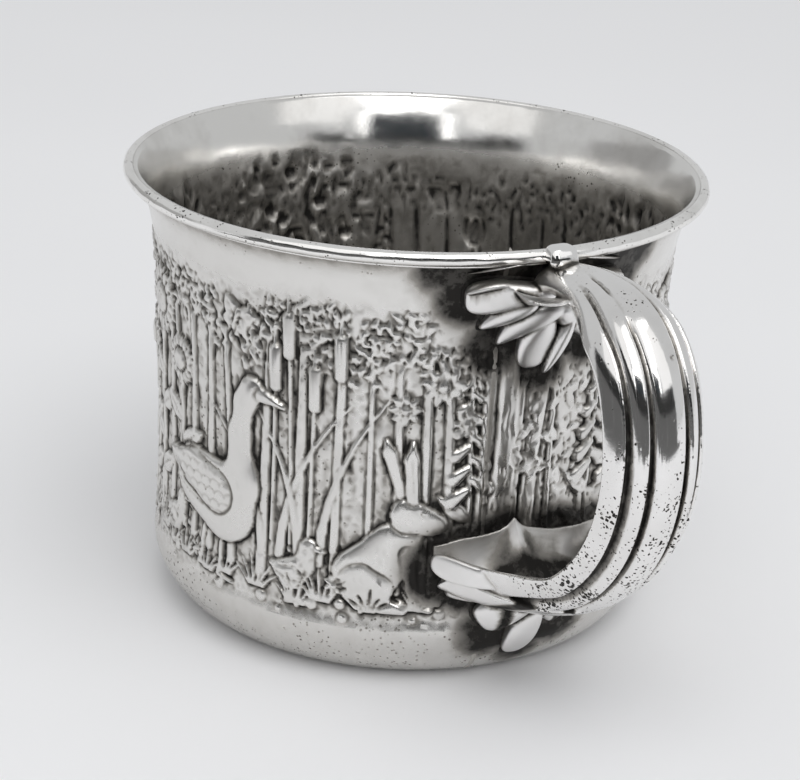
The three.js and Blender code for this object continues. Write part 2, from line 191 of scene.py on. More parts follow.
def soft_lamp(name, place, size, power):
    """A square lamp at a place in millimetres, turned towards the cup."""
    lamp = bpy.data.lights.new(name, "AREA")
    lamp.shape, lamp.size, lamp.energy = "SQUARE", size * MM, power
    made = in_scene(name, lamp)
    made.location = Vector(place) * MM
    made.rotation_euler = (AIM - made.location).to_track_quat("-Z", "Y").to_euler()
    return made


soft_lamp("big_window", (750, 40, 1450), 1300, 7.8)
fill = soft_lamp("front_fill", (420, -200, 520), 500, 0.85)
fill.visible_glossy = False

# %% [markdown]
# Silver shows mostly what is round it. Bright and dark cards stand where the photograph's room has
# its windows and its darker parts. Only mirror-like rays see them, so they light nothing and throw
# no shadow.


# %% Cards that only the silver sees
def reflected_card(name, centre, across, along, strength, facing=None, tint=(1, 1, 1)):
    """A glowing card, turned towards the cup unless it is told where to face."""
    made = flat_card(name, centre, across, along, facing or (-Vector(centre) + AIM / MM))
    glow = bpy.data.materials.new(name)
    glow.use_nodes = True
    tree = glow.node_tree
    tree.nodes.clear()
    light = node(tree, "ShaderNodeEmission", {"Color": (*tint, 1), "Strength": strength})
    out = node(tree, "ShaderNodeOutputMaterial")
    tree.links.new(light.outputs[0], out.inputs["Surface"])
    made.data.materials.append(glow)
    made.visible_camera = made.visible_diffuse = made.visible_shadow = False
    made.visible_transmission = made.visible_volume_scatter = False


def around(turn, tilt, distance):
    """A place seen from the cup at an angle round it and a height above the table, in degrees."""
    turn, tilt = math.radians(turn), math.radians(tilt)
    return (distance * math.cos(tilt) * math.cos(turn), distance * math.cos(tilt) * math.sin(turn),
            distance * math.sin(tilt))


def upright(name, centre, turn, distance, across, low, high, strength, tint=(1, 1, 1)):
    """A card on edge, at an angle round and a distance from a centre on the table."""
    away = Vector(around(turn, 0, 1))
    place = Vector((*centre, (low + high) / 2)) + away * distance
    reflected_card(name, place, across, high - low, strength, -away, tint)


reflected_card("window_middle", around(-21, 53, 900), 462, 640, 2.6)
reflected_card("window_left", around(-68, 48, 900), 511, 800, 1.0)
reflected_card("window_right", around(23, 48, 900), 511, 800, 1.0)
upright("dark_pane", (0, 0), -22, 700, 441, 60, 480, 0.035, (0.7, 0.85, 1))
upright("window_frame_left", (0, 0), -42.5, 700, 61, 60, 500, 2.0)
upright("window_frame_right", (0, 0), -1.5, 700, 61, 60, 500, 2.0)
STRAP_FRONT = 70
for turn in (-95, -65, -35, -5, 25):
    upright("dark_room", (STRAP_FRONT, 0), turn, 150, 80, 75, 115, 0.025)
    upright("grey_room", (STRAP_FRONT, 0), turn, 150, 80, 25, 75, 0.12)
    table = Vector((STRAP_FRONT, 0, 0.6 + turn / 200)) + Vector(around(turn, 0, 1)) * 290
    reflected_card("grey_table", table, 160, 220, 0.12, (0, 0, 1))
reflected_card("dim_left", around(-140, 4, 700), 700, 500, 0.36)
print("cards stand for the room")

# %% [markdown]
# ## The wall's outline
# Seen from the side the wall is one smooth line: a rounded heel, a slight waist and a flare to the
# mouth. It is the same three curves as in the CAD model, so that the detailed wall lies on it.

# %% Outline of the wall, in millimetres
SEAT, FOOT_RADIUS, HEEL, HEEL_HEIGHT = 27.4, 29.4, 37.0, 8.8
WAIST, NECK, NECK_HEIGHT, MOUTH, WALL_TOP, GAUGE = 36.2, 37.2, 50.0, 40.9, 65.1, 0.7


def curve(corners, count, start=0.0):
    """Points and directions along a curve drawn by its control corners."""
    share = np.linspace(start, 1, count)[:, None]
    rows = [np.array(corner, float) + 0 * share for corner in corners]
    direction = None
    while len(rows) > 1:
        if len(rows) == 2:
            direction = rows[1] - rows[0]
        rows = [a + (b - a) * share for a, b in zip(rows, rows[1:])]
    return rows[0], direction / np.linalg.norm(direction, axis=1)[:, None]


def outline(heel_steps, side_steps, flare_steps):
    """The outline's points and outward directions, from the table to the top edge."""
    quarter = np.linspace(-math.pi / 2, 0, heel_steps)
    turned_in = HEEL - FOOT_RADIUS
    heel = np.stack([FOOT_RADIUS + turned_in * np.cos(quarter),
                     HEEL_HEIGHT + HEEL_HEIGHT * np.sin(quarter)], 1)
    along = np.stack([-turned_in * np.sin(quarter), HEEL_HEIGHT * np.cos(quarter)], 1)
    along /= np.linalg.norm(along, axis=1)[:, None]
    rise, spread = NECK_HEIGHT - HEEL_HEIGHT, MOUTH - NECK
    side, side_along = curve([(HEEL, HEEL_HEIGHT), (HEEL, HEEL_HEIGHT + rise * 0.12),
                              (WAIST - (NECK - WAIST) * 0.6, HEEL_HEIGHT + rise * 0.28),
                              (NECK, NECK_HEIGHT)], side_steps, 1 / side_steps)
    flare, flare_along = curve([(NECK, NECK_HEIGHT), (NECK + spread * 0.12, WALL_TOP - 15.4 * 0.32),
                                (MOUTH, WALL_TOP)], flare_steps, 1 / flare_steps)
    points = np.concatenate([heel, side, flare])
    along = np.concatenate([along, side_along, flare_along])
    return points, np.stack([along[:, 1], -along[:, 0]], 1)


OUTSIDE = outline(60, 200, 80)[0]


def wall_radius(height):
    return np.interp(height, OUTSIDE[:, 1], OUTSIDE[:, 0])


print("wall radius at the waist", round(float(wall_radius(25)), 2), "mm, at the mouth", MOUTH, "mm")

# %% [markdown]
# ## The frieze as a map of heights
# A silversmith chases a relief from the front and pushes it out from behind. Here the wall is
# unrolled into a map, one number for each tenth of a millimetre, and each motif is laid on it as a
# swelling form. A form has a rounded shoulder, may carry feathers, fur or veins, and sinks a fine
# dark groove round itself, as the chasing tool does.

# %% The map and its brushes
UNROLLED = 37.0
CELL = 0.1
LOW, HIGH = 7.0, 60.0
AROUND = 2 * math.pi * UNROLLED
COLUMNS, ROWS = round(AROUND / CELL), round((HIGH - LOW) / CELL)
chance = np.random.default_rng(7)


def softened(field, across, tall=None):
    """A blurred copy of a map, by a distance in millimetres; the map goes on round the cup."""
    edge = 80
    padded = np.pad(field, ((edge, edge), (0, 0)), mode="edge")
    up = np.fft.fftfreq(padded.shape[0], CELL)[:, None]
    on = np.fft.rfftfreq(padded.shape[1], CELL)[None, :]
    kept = np.exp(-2 * math.pi ** 2 * ((up * (tall or across)) ** 2 + (on * across) ** 2))
    return np.fft.irfft2(np.fft.rfft2(padded) * kept, padded.shape)[edge:-edge]


def roughness(across, tall=None):
    field = softened(chance.normal(size=(ROWS, COLUMNS)), across, tall)
    return field / field.std()


HEIGHT_AT = np.broadcast_to((np.arange(ROWS) * CELL + LOW)[:, None], (ROWS, COLUMNS))
streaks = np.clip((HEIGHT_AT - 14) / 6, 0, 1) * np.clip((50 - HEIGHT_AT) / 8, 0, 1)
relief = 0.035 * roughness(0.22) + 0.05 * roughness(0.3, 2.2) * streaks + 0.05 * roughness(1.2)
print("map of", ROWS, "by", COLUMNS, "heights")


def window(u, z, reach):
    """Rows and columns of the map near a place, and each one's distance from it."""
    columns = np.arange(math.floor((u - reach) / CELL), math.ceil((u + reach) / CELL))
    lowest = max(0, math.floor((z - reach - LOW) / CELL))
    rows = np.arange(lowest, min(ROWS, math.ceil((z + reach - LOW) / CELL)))
    x, y = np.meshgrid(columns * CELL - u, rows * CELL + LOW - z)
    return np.ix_(rows, columns % COLUMNS), x, y


def local(place, x, y):
    """Turns map distances into a motif's own: moved, turned, mirrored and scaled."""
    c, s = math.cos(math.radians(place[4])), math.sin(math.radians(place[4]))
    return (x * c + y * s) / place[2] * place[3], (y * c - x * s) / place[2]


def strand(x, y, stroke):
    """Depth inside a tapering stroke with round ends, negative outside it."""
    x0, y0, r0, x1, y1, r1 = stroke
    run, rise = x1 - x0, y1 - y0
    share = np.clip(((x - x0) * run + (y - y0) * rise) / (run * run + rise * rise + 1e-9), 0, 1)
    return r0 + (r1 - r0) * share - np.hypot(x - x0 - share * run, y - y0 - share * rise)


def lay(place, inside, reach, level, height, shoulder, skin=None, groove=0.18, rim=0.22):
    """Lays one form on the map: its level, its swelling, its skin and the groove round it.
    A place is how far round, how high, the scale, 1 or -1 for mirrored, and the turn."""
    cells, x, y = window(place[0], place[1], reach * place[2])
    x, y = local(place, x, y)
    depth = inside(x, y) * place[2]
    swell = height * np.sqrt(1 - (1 - np.clip(depth / shoulder, 0, 1)) ** 2)
    if skin is not None:
        swell = swell + skin(x, y) * np.clip(depth / 0.35, 0, 1)
    share = np.clip(depth / 0.14 + 0.5, 0, 1)
    cut = groove * np.exp(-(np.minimum(depth, 0) / rim) ** 2)
    relief[cells] = (relief[cells] - cut) * (1 - share) + (level + swell) * share


def form(place, strokes, level=0.15, height=0.45, shoulder=1.6, soft=0.7, skin=None, groove=0.2,
         rim=0.24):
    """Lays a body made of several strokes that flow into each other."""
    def inside(x, y):
        depth = strand(x, y, strokes[0])
        for stroke in strokes[1:]:
            other = strand(x, y, stroke)
            share = np.clip(0.5 + 0.5 * (depth - other) / soft, 0, 1)
            depth = other + (depth - other) * share + soft * share * (1 - share)
        return depth
    reach = max(max(math.hypot(x0, y0) + r0, math.hypot(x1, y1) + r1)
                for x0, y0, r0, x1, y1, r1 in strokes) + 0.9
    lay(place, inside, reach, level, height, shoulder, skin, groove, rim)


def engrave(place, lines, depth=0.16, width=0.16):
    """Cuts fine straight lines, each given by its two ends."""
    reach = max(max(math.hypot(x0, y0), math.hypot(x1, y1)) for x0, y0, x1, y1 in lines) + 0.9
    cells, x, y = window(place[0], place[1], reach * place[2])
    x, y = local(place, x, y)
    cut = np.zeros_like(x)
    for x0, y0, x1, y1 in lines:
        away = strand(x, y, (x0, y0, 0, x1, y1, 0)) * place[2]
        cut = np.maximum(cut, np.exp(-(away / width) ** 2))
    relief[cells] -= depth * cut


def standing(u, z):
    """The place of a motif that stands upright at its full size."""
    return u, z, 1, 1, 0


def dot(u, z, radius, level=0.3, height=0.25, groove=0.14):
    form(standing(u, z), [(0, 0, radius, 0.01, 0, radius)], level, height, radius,
         groove=groove, rim=0.16)


# %% Skins: feathers, wool and fur
def feathers(size):
    """Rows of scales, each row half a scale to the side of the one below."""
    def skin(x, y):
        row = np.floor(y / size)
        aside = (x / size * 0.8 + 0.5 * (row % 2)) % 1 - 0.5
        edge = np.abs(np.hypot(aside, (y / size) % 1 * 0.9) - 0.5)
        return -0.16 * np.exp(-(edge / 0.11) ** 2)
    return skin


def wool(x, y):
    return 0.13 * np.sin(3.3 * x + 1.6 * np.sin(2.4 * y)) * np.sin(3.5 * y + 1.5 * np.sin(2.7 * x))


def fur(x, y):
    return 0.03 * np.sin(7 * x + 3 * y + 1.5 * np.sin(3 * y)) * np.sin(2.2 * y + x)


def bark(x, y):
    return 0.12 * np.sin(6 * x + 1.4 * np.sin(1.3 * y)) * (0.6 + 0.4 * np.sin(0.9 * y + x))


# %% [markdown]
# ## Plants
# Leaves, flowers and grasses fill the ground between the animals, so that hardly any bare metal is
# left below the plain band, as on a good chased cup.


# %% Leaves, stems and grass
def leaf(u, z, length, width, turn, level=0.1, height=0.32, veins=True):
    def inside(x, y):
        half = width / 2 * np.sin(math.pi * np.clip(x / length, 0, 1) ** 0.75) ** 0.8
        return np.minimum(half - np.abs(y), np.minimum(x, length - x) * 0.6)

    def skin(x, y):
        rib = np.exp(-(y / 0.13) ** 2)
        side_vein = np.exp(-((((x - np.abs(y) * 0.9) / 0.85) % 1 - 0.5) / 0.16) ** 2)
        return -0.16 * rib - veins * 0.07 * side_vein
    lay((u, z, 1, 1, turn), inside, length + 0.6, level, height, 0.7, skin)


def path(points, radii):
    return [(*points[i], radii[i], *points[i + 1], radii[i + 1]) for i in range(len(points) - 1)]


def stem(points, radius=0.32, level=0.12, height=0.25):
    u, z = points[0]
    strokes = path([(x - u, y - z) for x, y in points], [radius] * len(points))
    form(standing(u, z), strokes, level, height, radius, 0.1, groove=0.16)


def blade(u, z, length, lean, bend, radius=0.42, level=0.14):
    """A long blade of grass that bends over as it rises."""
    points, radii, heading = [(0, 0)], [radius], math.radians(90 - lean)
    for i in range(6):
        x, y = points[-1]
        points.append((x + math.cos(heading) * length / 6, y + math.sin(heading) * length / 6))
        radii.append(radius * (1 - (i + 1) / 6.6) * 1.15)
        heading -= math.radians(bend / 6)
    form(standing(u, z), path(points, radii), level, 0.24, radius, 0.15, groove=0.15)


def tuft(u, z, size, count):
    for i in range(count):
        share = i / (count - 1) * 2 - 1
        length = size * (1.15 - 0.35 * abs(share)) * chance.uniform(0.8, 1.1)
        blade(u + share * size * 0.25, z, length, share * 30 + chance.uniform(-8, 8), share * 40,
              0.3, 0.2 + 0.02 * (i % 3))


def bush(u, z, across, tall, count, size=1.7):
    for _ in range(count):
        angle, share = chance.uniform(0, 2 * math.pi), chance.random() ** 0.5
        leaf(u + math.cos(angle) * across * share, z + math.sin(angle) * tall * share,
             chance.uniform(0.8, 1.25) * size, chance.uniform(0.5, 0.7) * size,
             chance.uniform(0, 360), 0.06 + 0.16 * (1 - share) + 0.06 * chance.random(), 0.2, False)


# %% Flowers
def toward(turn):
    """How far across and up one step goes, in a direction in degrees."""
    return math.cos(math.radians(turn)), math.sin(math.radians(turn))


def daisy(u, z, radius, petals=9, level=0.25, lean=0):
    for i in range(petals):
        turn = lean + 360 * i / petals
        c, s = toward(turn)
        leaf(u + c * radius * 0.28, z + s * radius * 0.28, radius * 0.78, radius * 0.46, turn,
             level, 0.22, False)
    dot(u, z, radius * 0.3, level + 0.2, 0.22)


def tulip(u, z, size, foot):
    stem([(u + 0.8, foot), (u + 0.3, z - 6), (u, z)])
    leaf(u + 0.7, foot + 3, 9, 2.2, 108, 0.2, 0.3)
    leaf(u + 0.7, foot + 2, 8, 2.2, 70, 0.2, 0.3)
    for lean in (-19, 19, 0):
        leaf(u, z, 5.5 * size, 2.7 * size, 90 + lean, 0.3 if lean else 0.4, 0.32, False)


def sunflower(u, z, radius, foot, lean=0.0):
    tall = z - foot
    stem([(u + lean, foot), (u + lean * 0.7, foot + tall * 0.4), (u, z)], 0.5, 0.15, 0.35)
    for share, way in ((0.2, 1), (0.34, -1), (0.5, 1), (0.64, -1)):
        leaf(u + lean * (1 - share), foot + tall * share, 6, 3.2, 90 - way * 58, 0.2, 0.34)
    for ring in (0, 1):
        for i in range(15):
            turn = 24 * (i + ring / 2)
            c, s = toward(turn)
            leaf(u + c * radius * 0.42, z + s * radius * 0.42, radius * (0.6 - 0.06 * ring),
                 radius * 0.26, turn, 0.28 + 0.12 * ring, 0.22, False)
    heart = radius * 0.44
    form(standing(u, z), [(0, 0, heart, 0.01, 0, heart)], 0.5, 0.35, radius * 0.4,
         skin=lambda x, y: 0.1 * np.sin(5.2 * (x + y)) * np.sin(5.2 * (x - y)), groove=0.25)


def foxglove(u, foot, top, lean=0.0):
    stem([(u, foot), (u + lean * 0.5, (foot + top) / 2), (u + lean, top)], 0.35, 0.15, 0.3)
    for share, way in ((0.05, 1), (0.1, -1), (0.2, 1), (0.28, -1)):
        leaf(u + lean * share, foot + (top - foot) * share, 6, 2.4, 90 - way * 50, 0.2, 0.3)
    for i in range(13):
        share, size = 0.42 + 0.56 * i / 12, 1.25 - 0.75 * i / 12
        bell = (u + lean * share, foot + (top - foot) * share, size, 1 if i % 2 else -1, 0)
        form(bell, [(0.2, 0, 0.5, 2, -1.4, 0.95)], 0.3, 0.35, 0.8, groove=0.18)
        engrave(bell, [(1.4, -1.7, 2.7, -1.3)], 0.14, 0.12)


def bulrush(u, foot, top, lean=0.0):
    stem([(u, foot), (u + lean * 0.4, (foot + top) / 2), (u + lean, top)], 0.3)
    form(standing(u + lean, top - 1), [(0, -3, 0.95, 0, 2.2, 0.95)], 0.25, 0.5, 0.95,
         skin=lambda x, y: 0.05 * np.sin(14 * y) * np.sin(14 * x), groove=0.22)
    form(standing(u + lean, top + 2.2), [(0, 0, 0.28, 0, 2, 0.12)], 0.2, 0.25, 0.25)


def sheaf(u, foot):
    for i in range(15):
        share = i / 7 - 1
        top, lean = 22 - 4 * abs(share) + chance.uniform(-1, 1), share * 7
        straw = path([(share * 4.6, 0), (share * 1.7, 9), (lean, top)], [0.4, 0.35, 0.3])
        form(standing(u, foot), straw, 0.2 + 0.02 * (i % 4), 0.3, 0.4, 0.2, groove=0.14)
        for j in range(5):
            leaf(u + lean * (0.9 + 0.03 * j), foot + top - 0.6 + j * 0.9, 1.7, 0.8,
                 90 + (28 if j % 2 else -28) - share * 20, 0.38, 0.26, False)
    form(standing(u, foot + 8.8), [(-2.6, -0.3, 0.9, 2.6, 0.3, 0.9)], 0.6, 0.35, 0.8,
         skin=lambda x, y: 0.07 * np.sin(7 * y + 4 * x), groove=0.22)


# %% Trees
def fruit_tree(u, foot, top, crown, fruit):
    height = top - foot
    trunk = [(0, 0, 2.6, 0.3, height * 0.25, 1.6),
             (0.3, height * 0.25, 1.6, -0.2, height * 0.62, 1.2),
             (-2.6, -0.6, 0.5, -0.6, 1.4, 1.2), (2.8, -0.5, 0.5, 0.8, 1.4, 1.2)]
    form(standing(u, foot), trunk, 0.2, 0.6, 1.4, 0.8, skin=bark)
    boughs = [(0, 0, 1, 3.4, 4.6, 0.6), (3.4, 4.6, 0.6, crown * 0.75, 6.2, 0.35),
              (2.2, 3, 0.6, 2.6, 9, 0.35)]
    for way in (-1, 1):
        form((u, foot + height * 0.5, 1, way, 0), boughs, 0.2, 0.45, 0.8, 0.4)
    middle = top - height * 0.2
    for i in range(110):
        angle, share = chance.uniform(0, 2 * math.pi), chance.uniform(0.02, 1) ** 0.6
        leaf(u + math.cos(angle) * crown * share, middle + math.sin(angle) * height * 0.24 * share,
             chance.uniform(2.2, 3.2), chance.uniform(1.2, 1.7),
             math.degrees(angle) + chance.uniform(-60, 60),
             0.15 + 0.35 * (1 - share) + 0.1 * chance.random(), 0.26)
    for i in range(fruit):
        angle, share = 2 * math.pi * (i + 0.4) / fruit, 0.45 + 0.35 * (i % 2)
        dot(u + math.cos(angle) * crown * share, middle + math.sin(angle) * height * 0.22 * share,
            1.15, 0.75, 0.45, 0.25)


def birch(u, foot, top, radius, lean):
    tall = top - foot
    trunk = path([(0, 0), (lean * 0.3, tall * 0.5), (lean, tall)],
                 [radius, radius * 0.85, radius * 0.6])
    form(standing(u, foot), trunk, 0.1, 0.3, radius, 0.2, skin=fur)
    marks = [(lean * z / tall - radius * 0.6, z, lean * z / tall + radius * w, z + 0.1)
             for z, w in zip(np.arange(1.5, tall - 1, 1.9), chance.uniform(-0.5, 0.6, 40))]
    engrave(standing(u, foot), marks, 0.13, 0.13)


# %% [markdown]
# ## Animals
# Each animal is a few strokes that flow into each other, far parts first and near parts on top,
# with a groove where one part stands in front of another.


# %% Geese and storks
def calm_fur(x, y):
    return 0.6 * fur(x, y)


def eye(place, x, y, radius, level, height=0.15):
    """A small dot on a head, at a spot in the animal's own measure."""
    u, z, size, way, _ = place
    dot(u + way * x * size, z + y * size, radius, level, height)


def goose(place):
    form(place, [(1.5, -9.5, 0.4, 1.2, -14.6, 0.4), (1.2, -14.9, 0.35, 3.6, -15.3, 0.25)],
         0.2, 0.3, 0.5)
    form(place, [(-1.8, -9.2, 0.45, -2.6, -14.2, 0.4), (-2.6, -14.5, 0.35, -0.2, -15, 0.25)],
         0.25, 0.3, 0.5)
    form(place, [(-8.4, -2.6, 0.7, -4, -3.4, 3.2), (-4, -3.4, 4.4, 1.8, -4.8, 5.2),
                 (1.8, -4.8, 4.8, 4.6, -1.4, 3), (4.6, -1.4, 2.6, 4.4, 5, 1.7),
                 (4.4, 5, 1.7, 5.2, 9.6, 1.5), (5.2, 9.6, 1.5, 6.4, 11.4, 1.9)],
         0.25, 0.85, 2.8, 1.2, skin=calm_fur)
    form(place, [(8, 11.2, 1.0, 11, 10.3, 0.35)], 0.35, 0.45, 0.7)
    engrave(place, [(7.6, 10.9, 10.8, 10.3)], 0.14, 0.12)
    form(place, [(-9.6, -1.2, 0.4, -4, -2.2, 2.3), (-4, -2.2, 2.6, 0.8, -3.6, 2.9)],
         0.9, 0.4, 1.6, 0.8, skin=feathers(1.35), groove=0.26)
    engrave(place, [(-9.2, -2.4, -3.4, -4.6), (-8.6, -3.4, -2.4, -5.4),
                    (-7.2, -4.6, -1.6, -6.2)], 0.18, 0.16)
    form(place, [(7, 12, 0.34, 7.01, 12, 0.34)], 0.85, 0.2, 0.36, groove=0.22, rim=0.14)


def gosling(place):
    for x in (0.6, -0.9):
        form(place, [(x, -3, 0.25, x - 0.1, -5, 0.22), (x - 0.1, -5.1, 0.25, x + 1.1, -5.2, 0.18)],
             0.2, 0.2, 0.3)
    form(place, [(-3.2, -0.4, 0.5, -0.6, -1.2, 2.1), (-0.6, -1.2, 2.1, 1.2, 0.2, 1.5),
                 (1.2, 0.2, 1.2, 1.8, 2.8, 1.25)], 0.25, 0.5, 1.5, 0.6, skin=wool)
    form(place, [(3, 2.8, 0.4, 4, 2.5, 0.18)], 0.35, 0.3, 0.3)
    form(place, [(-2.4, -0.8, 0.3, -0.2, -1, 1)], 0.6, 0.25, 0.7, groove=0.18)
    eye(place, 2.1, 3.2, 0.22, 0.65, 0.12)


def stork(place):
    form(place, [(0.4, -4, 0.35, 0, -19, 0.3), (0, -19.1, 0.3, 2.4, -19.7, 0.2),
                 (0, -19.1, 0.3, -1.2, -19.8, 0.2)], 0.25, 0.25, 0.35)
    form(place, [(-1.4, -3.4, 0.35, 2.2, -9.8, 0.35), (2.2, -9.8, 0.3, -1.2, -13, 0.28)],
         0.3, 0.25, 0.35)
    form(place, [(-7, -2.6, 0.6, -3, 0, 2.8), (-3, 0, 3.2, 1.6, 1, 3), (2.4, 1.6, 2.2, 4, 6, 1.2),
                 (4, 6, 1.1, 2.4, 10.6, 1), (2.4, 10.6, 1, 4.4, 13.6, 1.5)],
         0.3, 0.7, 2.2, 1, skin=calm_fur)
    form(place, [(5.4, 13.4, 0.6, 12.4, 10.4, 0.2)], 0.5, 0.4, 0.5)
    form(place, [(-8.2, -3.2, 0.35, -3, -0.6, 1.7), (-3, -0.6, 1.9, 0.8, 0.6, 2)],
         0.9, 0.35, 1.2, skin=feathers(1.25), groove=0.24)
    eye(place, 4.9, 13.9, 0.28, 1.0)


# %% Rabbit, lamb and hen
def rabbit(place):
    form(place, [(-5.6, -4.6, 1.5, -5.61, -4.6, 1.5)], 0.3, 0.4, 1.2, skin=wool)
    form(place, [(-2.2, -3.2, 4.3, 1.2, 0.6, 3.4), (1.2, 0.6, 3.2, 3.2, 3.6, 2.2)],
         0.25, 0.8, 2.8, 1.5, skin=fur)
    form(place, [(3.2, 0.4, 1.2, 3.8, -4.4, 0.8), (3.8, -4.6, 0.8, 4.8, -7, 0.7),
                 (4.8, -7, 0.7, 6.2, -7.3, 0.6)], 0.5, 0.4, 0.9, 0.5, skin=fur)
    form(place, [(-2.6, -4.2, 3, -0.6, -4.6, 2.2), (-2.6, -7, 1, 2.8, -7.3, 0.8)],
         0.6, 0.45, 1.7, 1, skin=fur, groove=0.24)
    form(place, [(2.2, 8.4, 0.8, 0.4, 14, 0.85), (0.4, 14, 0.8, 0, 15.6, 0.3)],
         0.3, 0.35, 0.8, 0.5)
    form(place, [(3.2, 5.6, 2.5, 6, 4.6, 1.6), (6, 4.6, 1.5, 7, 4.4, 1.1)],
         0.5, 0.6, 1.8, 1, skin=fur, groove=0.22)
    form(place, [(3.6, 8, 0.9, 3.2, 13.2, 1), (3.2, 13.4, 0.9, 3.3, 15.4, 0.3)],
         0.55, 0.35, 0.8, 0.5)
    engrave(place, [(3.6, 9, 3.2, 14)], 0.16, 0.2)
    engrave(place, [(7.4, 3.9, 6.2, 3.5), (5.8, 4.4, 3.6, 3.6), (5.8, 4.1, 3.8, 3.1)], 0.12, 0.1)
    form(place, [(5, 6.2, 0.34, 5.01, 6.2, 0.34)], 0.95, 0.2, 0.34, groove=0.24, rim=0.14)


def lamb(place):
    for x, level in ((-5.2, 0.2), (3.4, 0.2), (-3.2, 0.35), (5, 0.35)):
        form(place, [(x, -4, 0.9, x + 0.3, -9.4, 0.55), (x + 0.3, -9.6, 0.6, x + 0.9, -10, 0.55)],
             level, 0.35, 0.7)
    form(place, [(-6.6, 1.6, 0.9, -8, -2, 0.7)], 0.3, 0.4, 0.8, skin=wool)
    form(place, [(-4.6, 0.2, 3.8, 3.8, 0.4, 3.9), (3.8, 0.6, 3.2, 6.4, 4.2, 2.2)],
         0.3, 0.8, 2.6, 1.4, skin=wool)
    form(place, [(7.4, 5.6, 1.9, 10.6, 4, 1.1)], 0.6, 0.55, 1.4, 0.8, groove=0.24)
    form(place, [(6.6, 6.8, 0.7, 4.2, 5.6, 0.5)], 0.9, 0.3, 0.6)
    form(place, [(7.2, 7.2, 1.3, 7.21, 7.2, 1.3)], 0.85, 0.3, 1, skin=wool, groove=0.12)
    engrave(place, [(11.2, 3.6, 10.2, 3.3), (10.9, 4.4, 10.7, 4.4)], 0.14, 0.12)
    eye(place, 8.6, 5.9, 0.3, 0.95)


def hen(place):
    for x in (-0.6, 1.2):
        form(place, [(x, -4.6, 0.35, x + 0.1, -7.2, 0.3), (x + 0.1, -7.4, 0.3, x + 1.6, -7.7, 0.2)],
             0.2, 0.25, 0.4)
    for turn in (118, 134, 150, 166):
        c, s = toward(turn)
        form(place, [(-3.4, 0.6, 1.0, -3.4 + 5.6 * c, 0.6 + 5.6 * s, 0.45)], 0.3, 0.35, 0.8,
             groove=0.2)
    form(place, [(-2.6, -0.8, 3.4, 1.8, -1.4, 3.6), (2.2, -0.4, 2.6, 4, 4.2, 1.5)],
         0.35, 0.75, 2.4, 1.2, skin=feathers(1.2))
    form(place, [(-3.6, 0, 1.4, 0.6, -1, 2)], 0.95, 0.35, 1.2, skin=feathers(1.0), groove=0.24)
    form(place, [(5.5, 4.3, 0.55, 6.6, 4, 0.15)], 0.5, 0.35, 0.4)
    form(place, [(3.4, 6, 0.5, 4.6, 6.3, 0.5), (4, 6.6, 0.4, 4.1, 6.7, 0.4)], 0.5, 0.3, 0.5)
    form(place, [(4.9, 3, 0.4, 4.9, 2.2, 0.35)], 0.7, 0.25, 0.35)
    eye(place, 4.5, 4.8, 0.24, 0.95)


# %% Hive and butterfly
def hive(u, foot):
    for x in (-4, 4):
        form(standing(u + x, foot), [(0, -2.4, 0.5, 0, 1, 0.5)], 0.2, 0.3, 0.5)
    form(standing(u, foot + 1.6), [(-5.6, 0, 0.7, 5.6, 0, 0.7)], 0.3, 0.35, 0.6)
    for i, half in enumerate((4.6, 4.8, 4.5, 3.9, 3.0, 1.7)):
        coil = [(-half + 0.6, 0, 1.15, half - 0.6, 0, 1.15)]
        form(standing(u, foot + 3.4 + 2.1 * i), coil, 0.35 + 0.03 * i, 0.5, 1.0,
             skin=lambda x, y: 0.06 * np.sin(6 * x + 5 * y), groove=0.2)
    form(standing(u, foot + 3.2), [(0, -0.6, 0.9, 0, 0.4, 0.9)], -0.1, 0.02, 0.4, groove=0.1)


def butterfly(u, z, size, turn):
    for way in (1, -1):
        leaf(u, z, 4.2 * size, 3.2 * size, turn + way * 48, 0.25, 0.26)
        leaf(u, z, 3 * size, 2.6 * size, turn + way * 118, 0.2, 0.24)
    form((u, z, 1, 1, turn), [(-1.6 * size, 0, 0.25, 1.6 * size, 0, 0.35)], 0.45, 0.25, 0.3)


# %% [markdown]
# ## The frieze is laid out
# The farthest things come first: a wood of thin trunks under a canopy, then trees and tall flowers,
# then the animals, and last the grass, pebbles and small flowers along the ground.

# %% Wood and canopy behind
for i in range(49):
    u = i * 4.6 - AROUND / 2 + 1.6 * math.sin(7 * i)
    birch(u, 15 + chance.uniform(-1, 2), 49, chance.uniform(0.5, 1.0), chance.uniform(-1.5, 1.5))
for i in range(25):
    u = i * 9 - AROUND / 2 + 2 * math.sin(5 * i)
    bush(u, 50 + 2 * math.sin(3 * i), 5.6, 3.6, 46, 1.5)
    bush(u + 4.5, 51 + chance.uniform(-2.5, 2.5), 3.6, 2.6, 22, 1.4)
    bush(u + chance.uniform(-2, 2), 20 + chance.uniform(-3, 3), chance.uniform(2, 3.6),
         chance.uniform(1.5, 2.6), 20, 1.3)
print("wood laid")

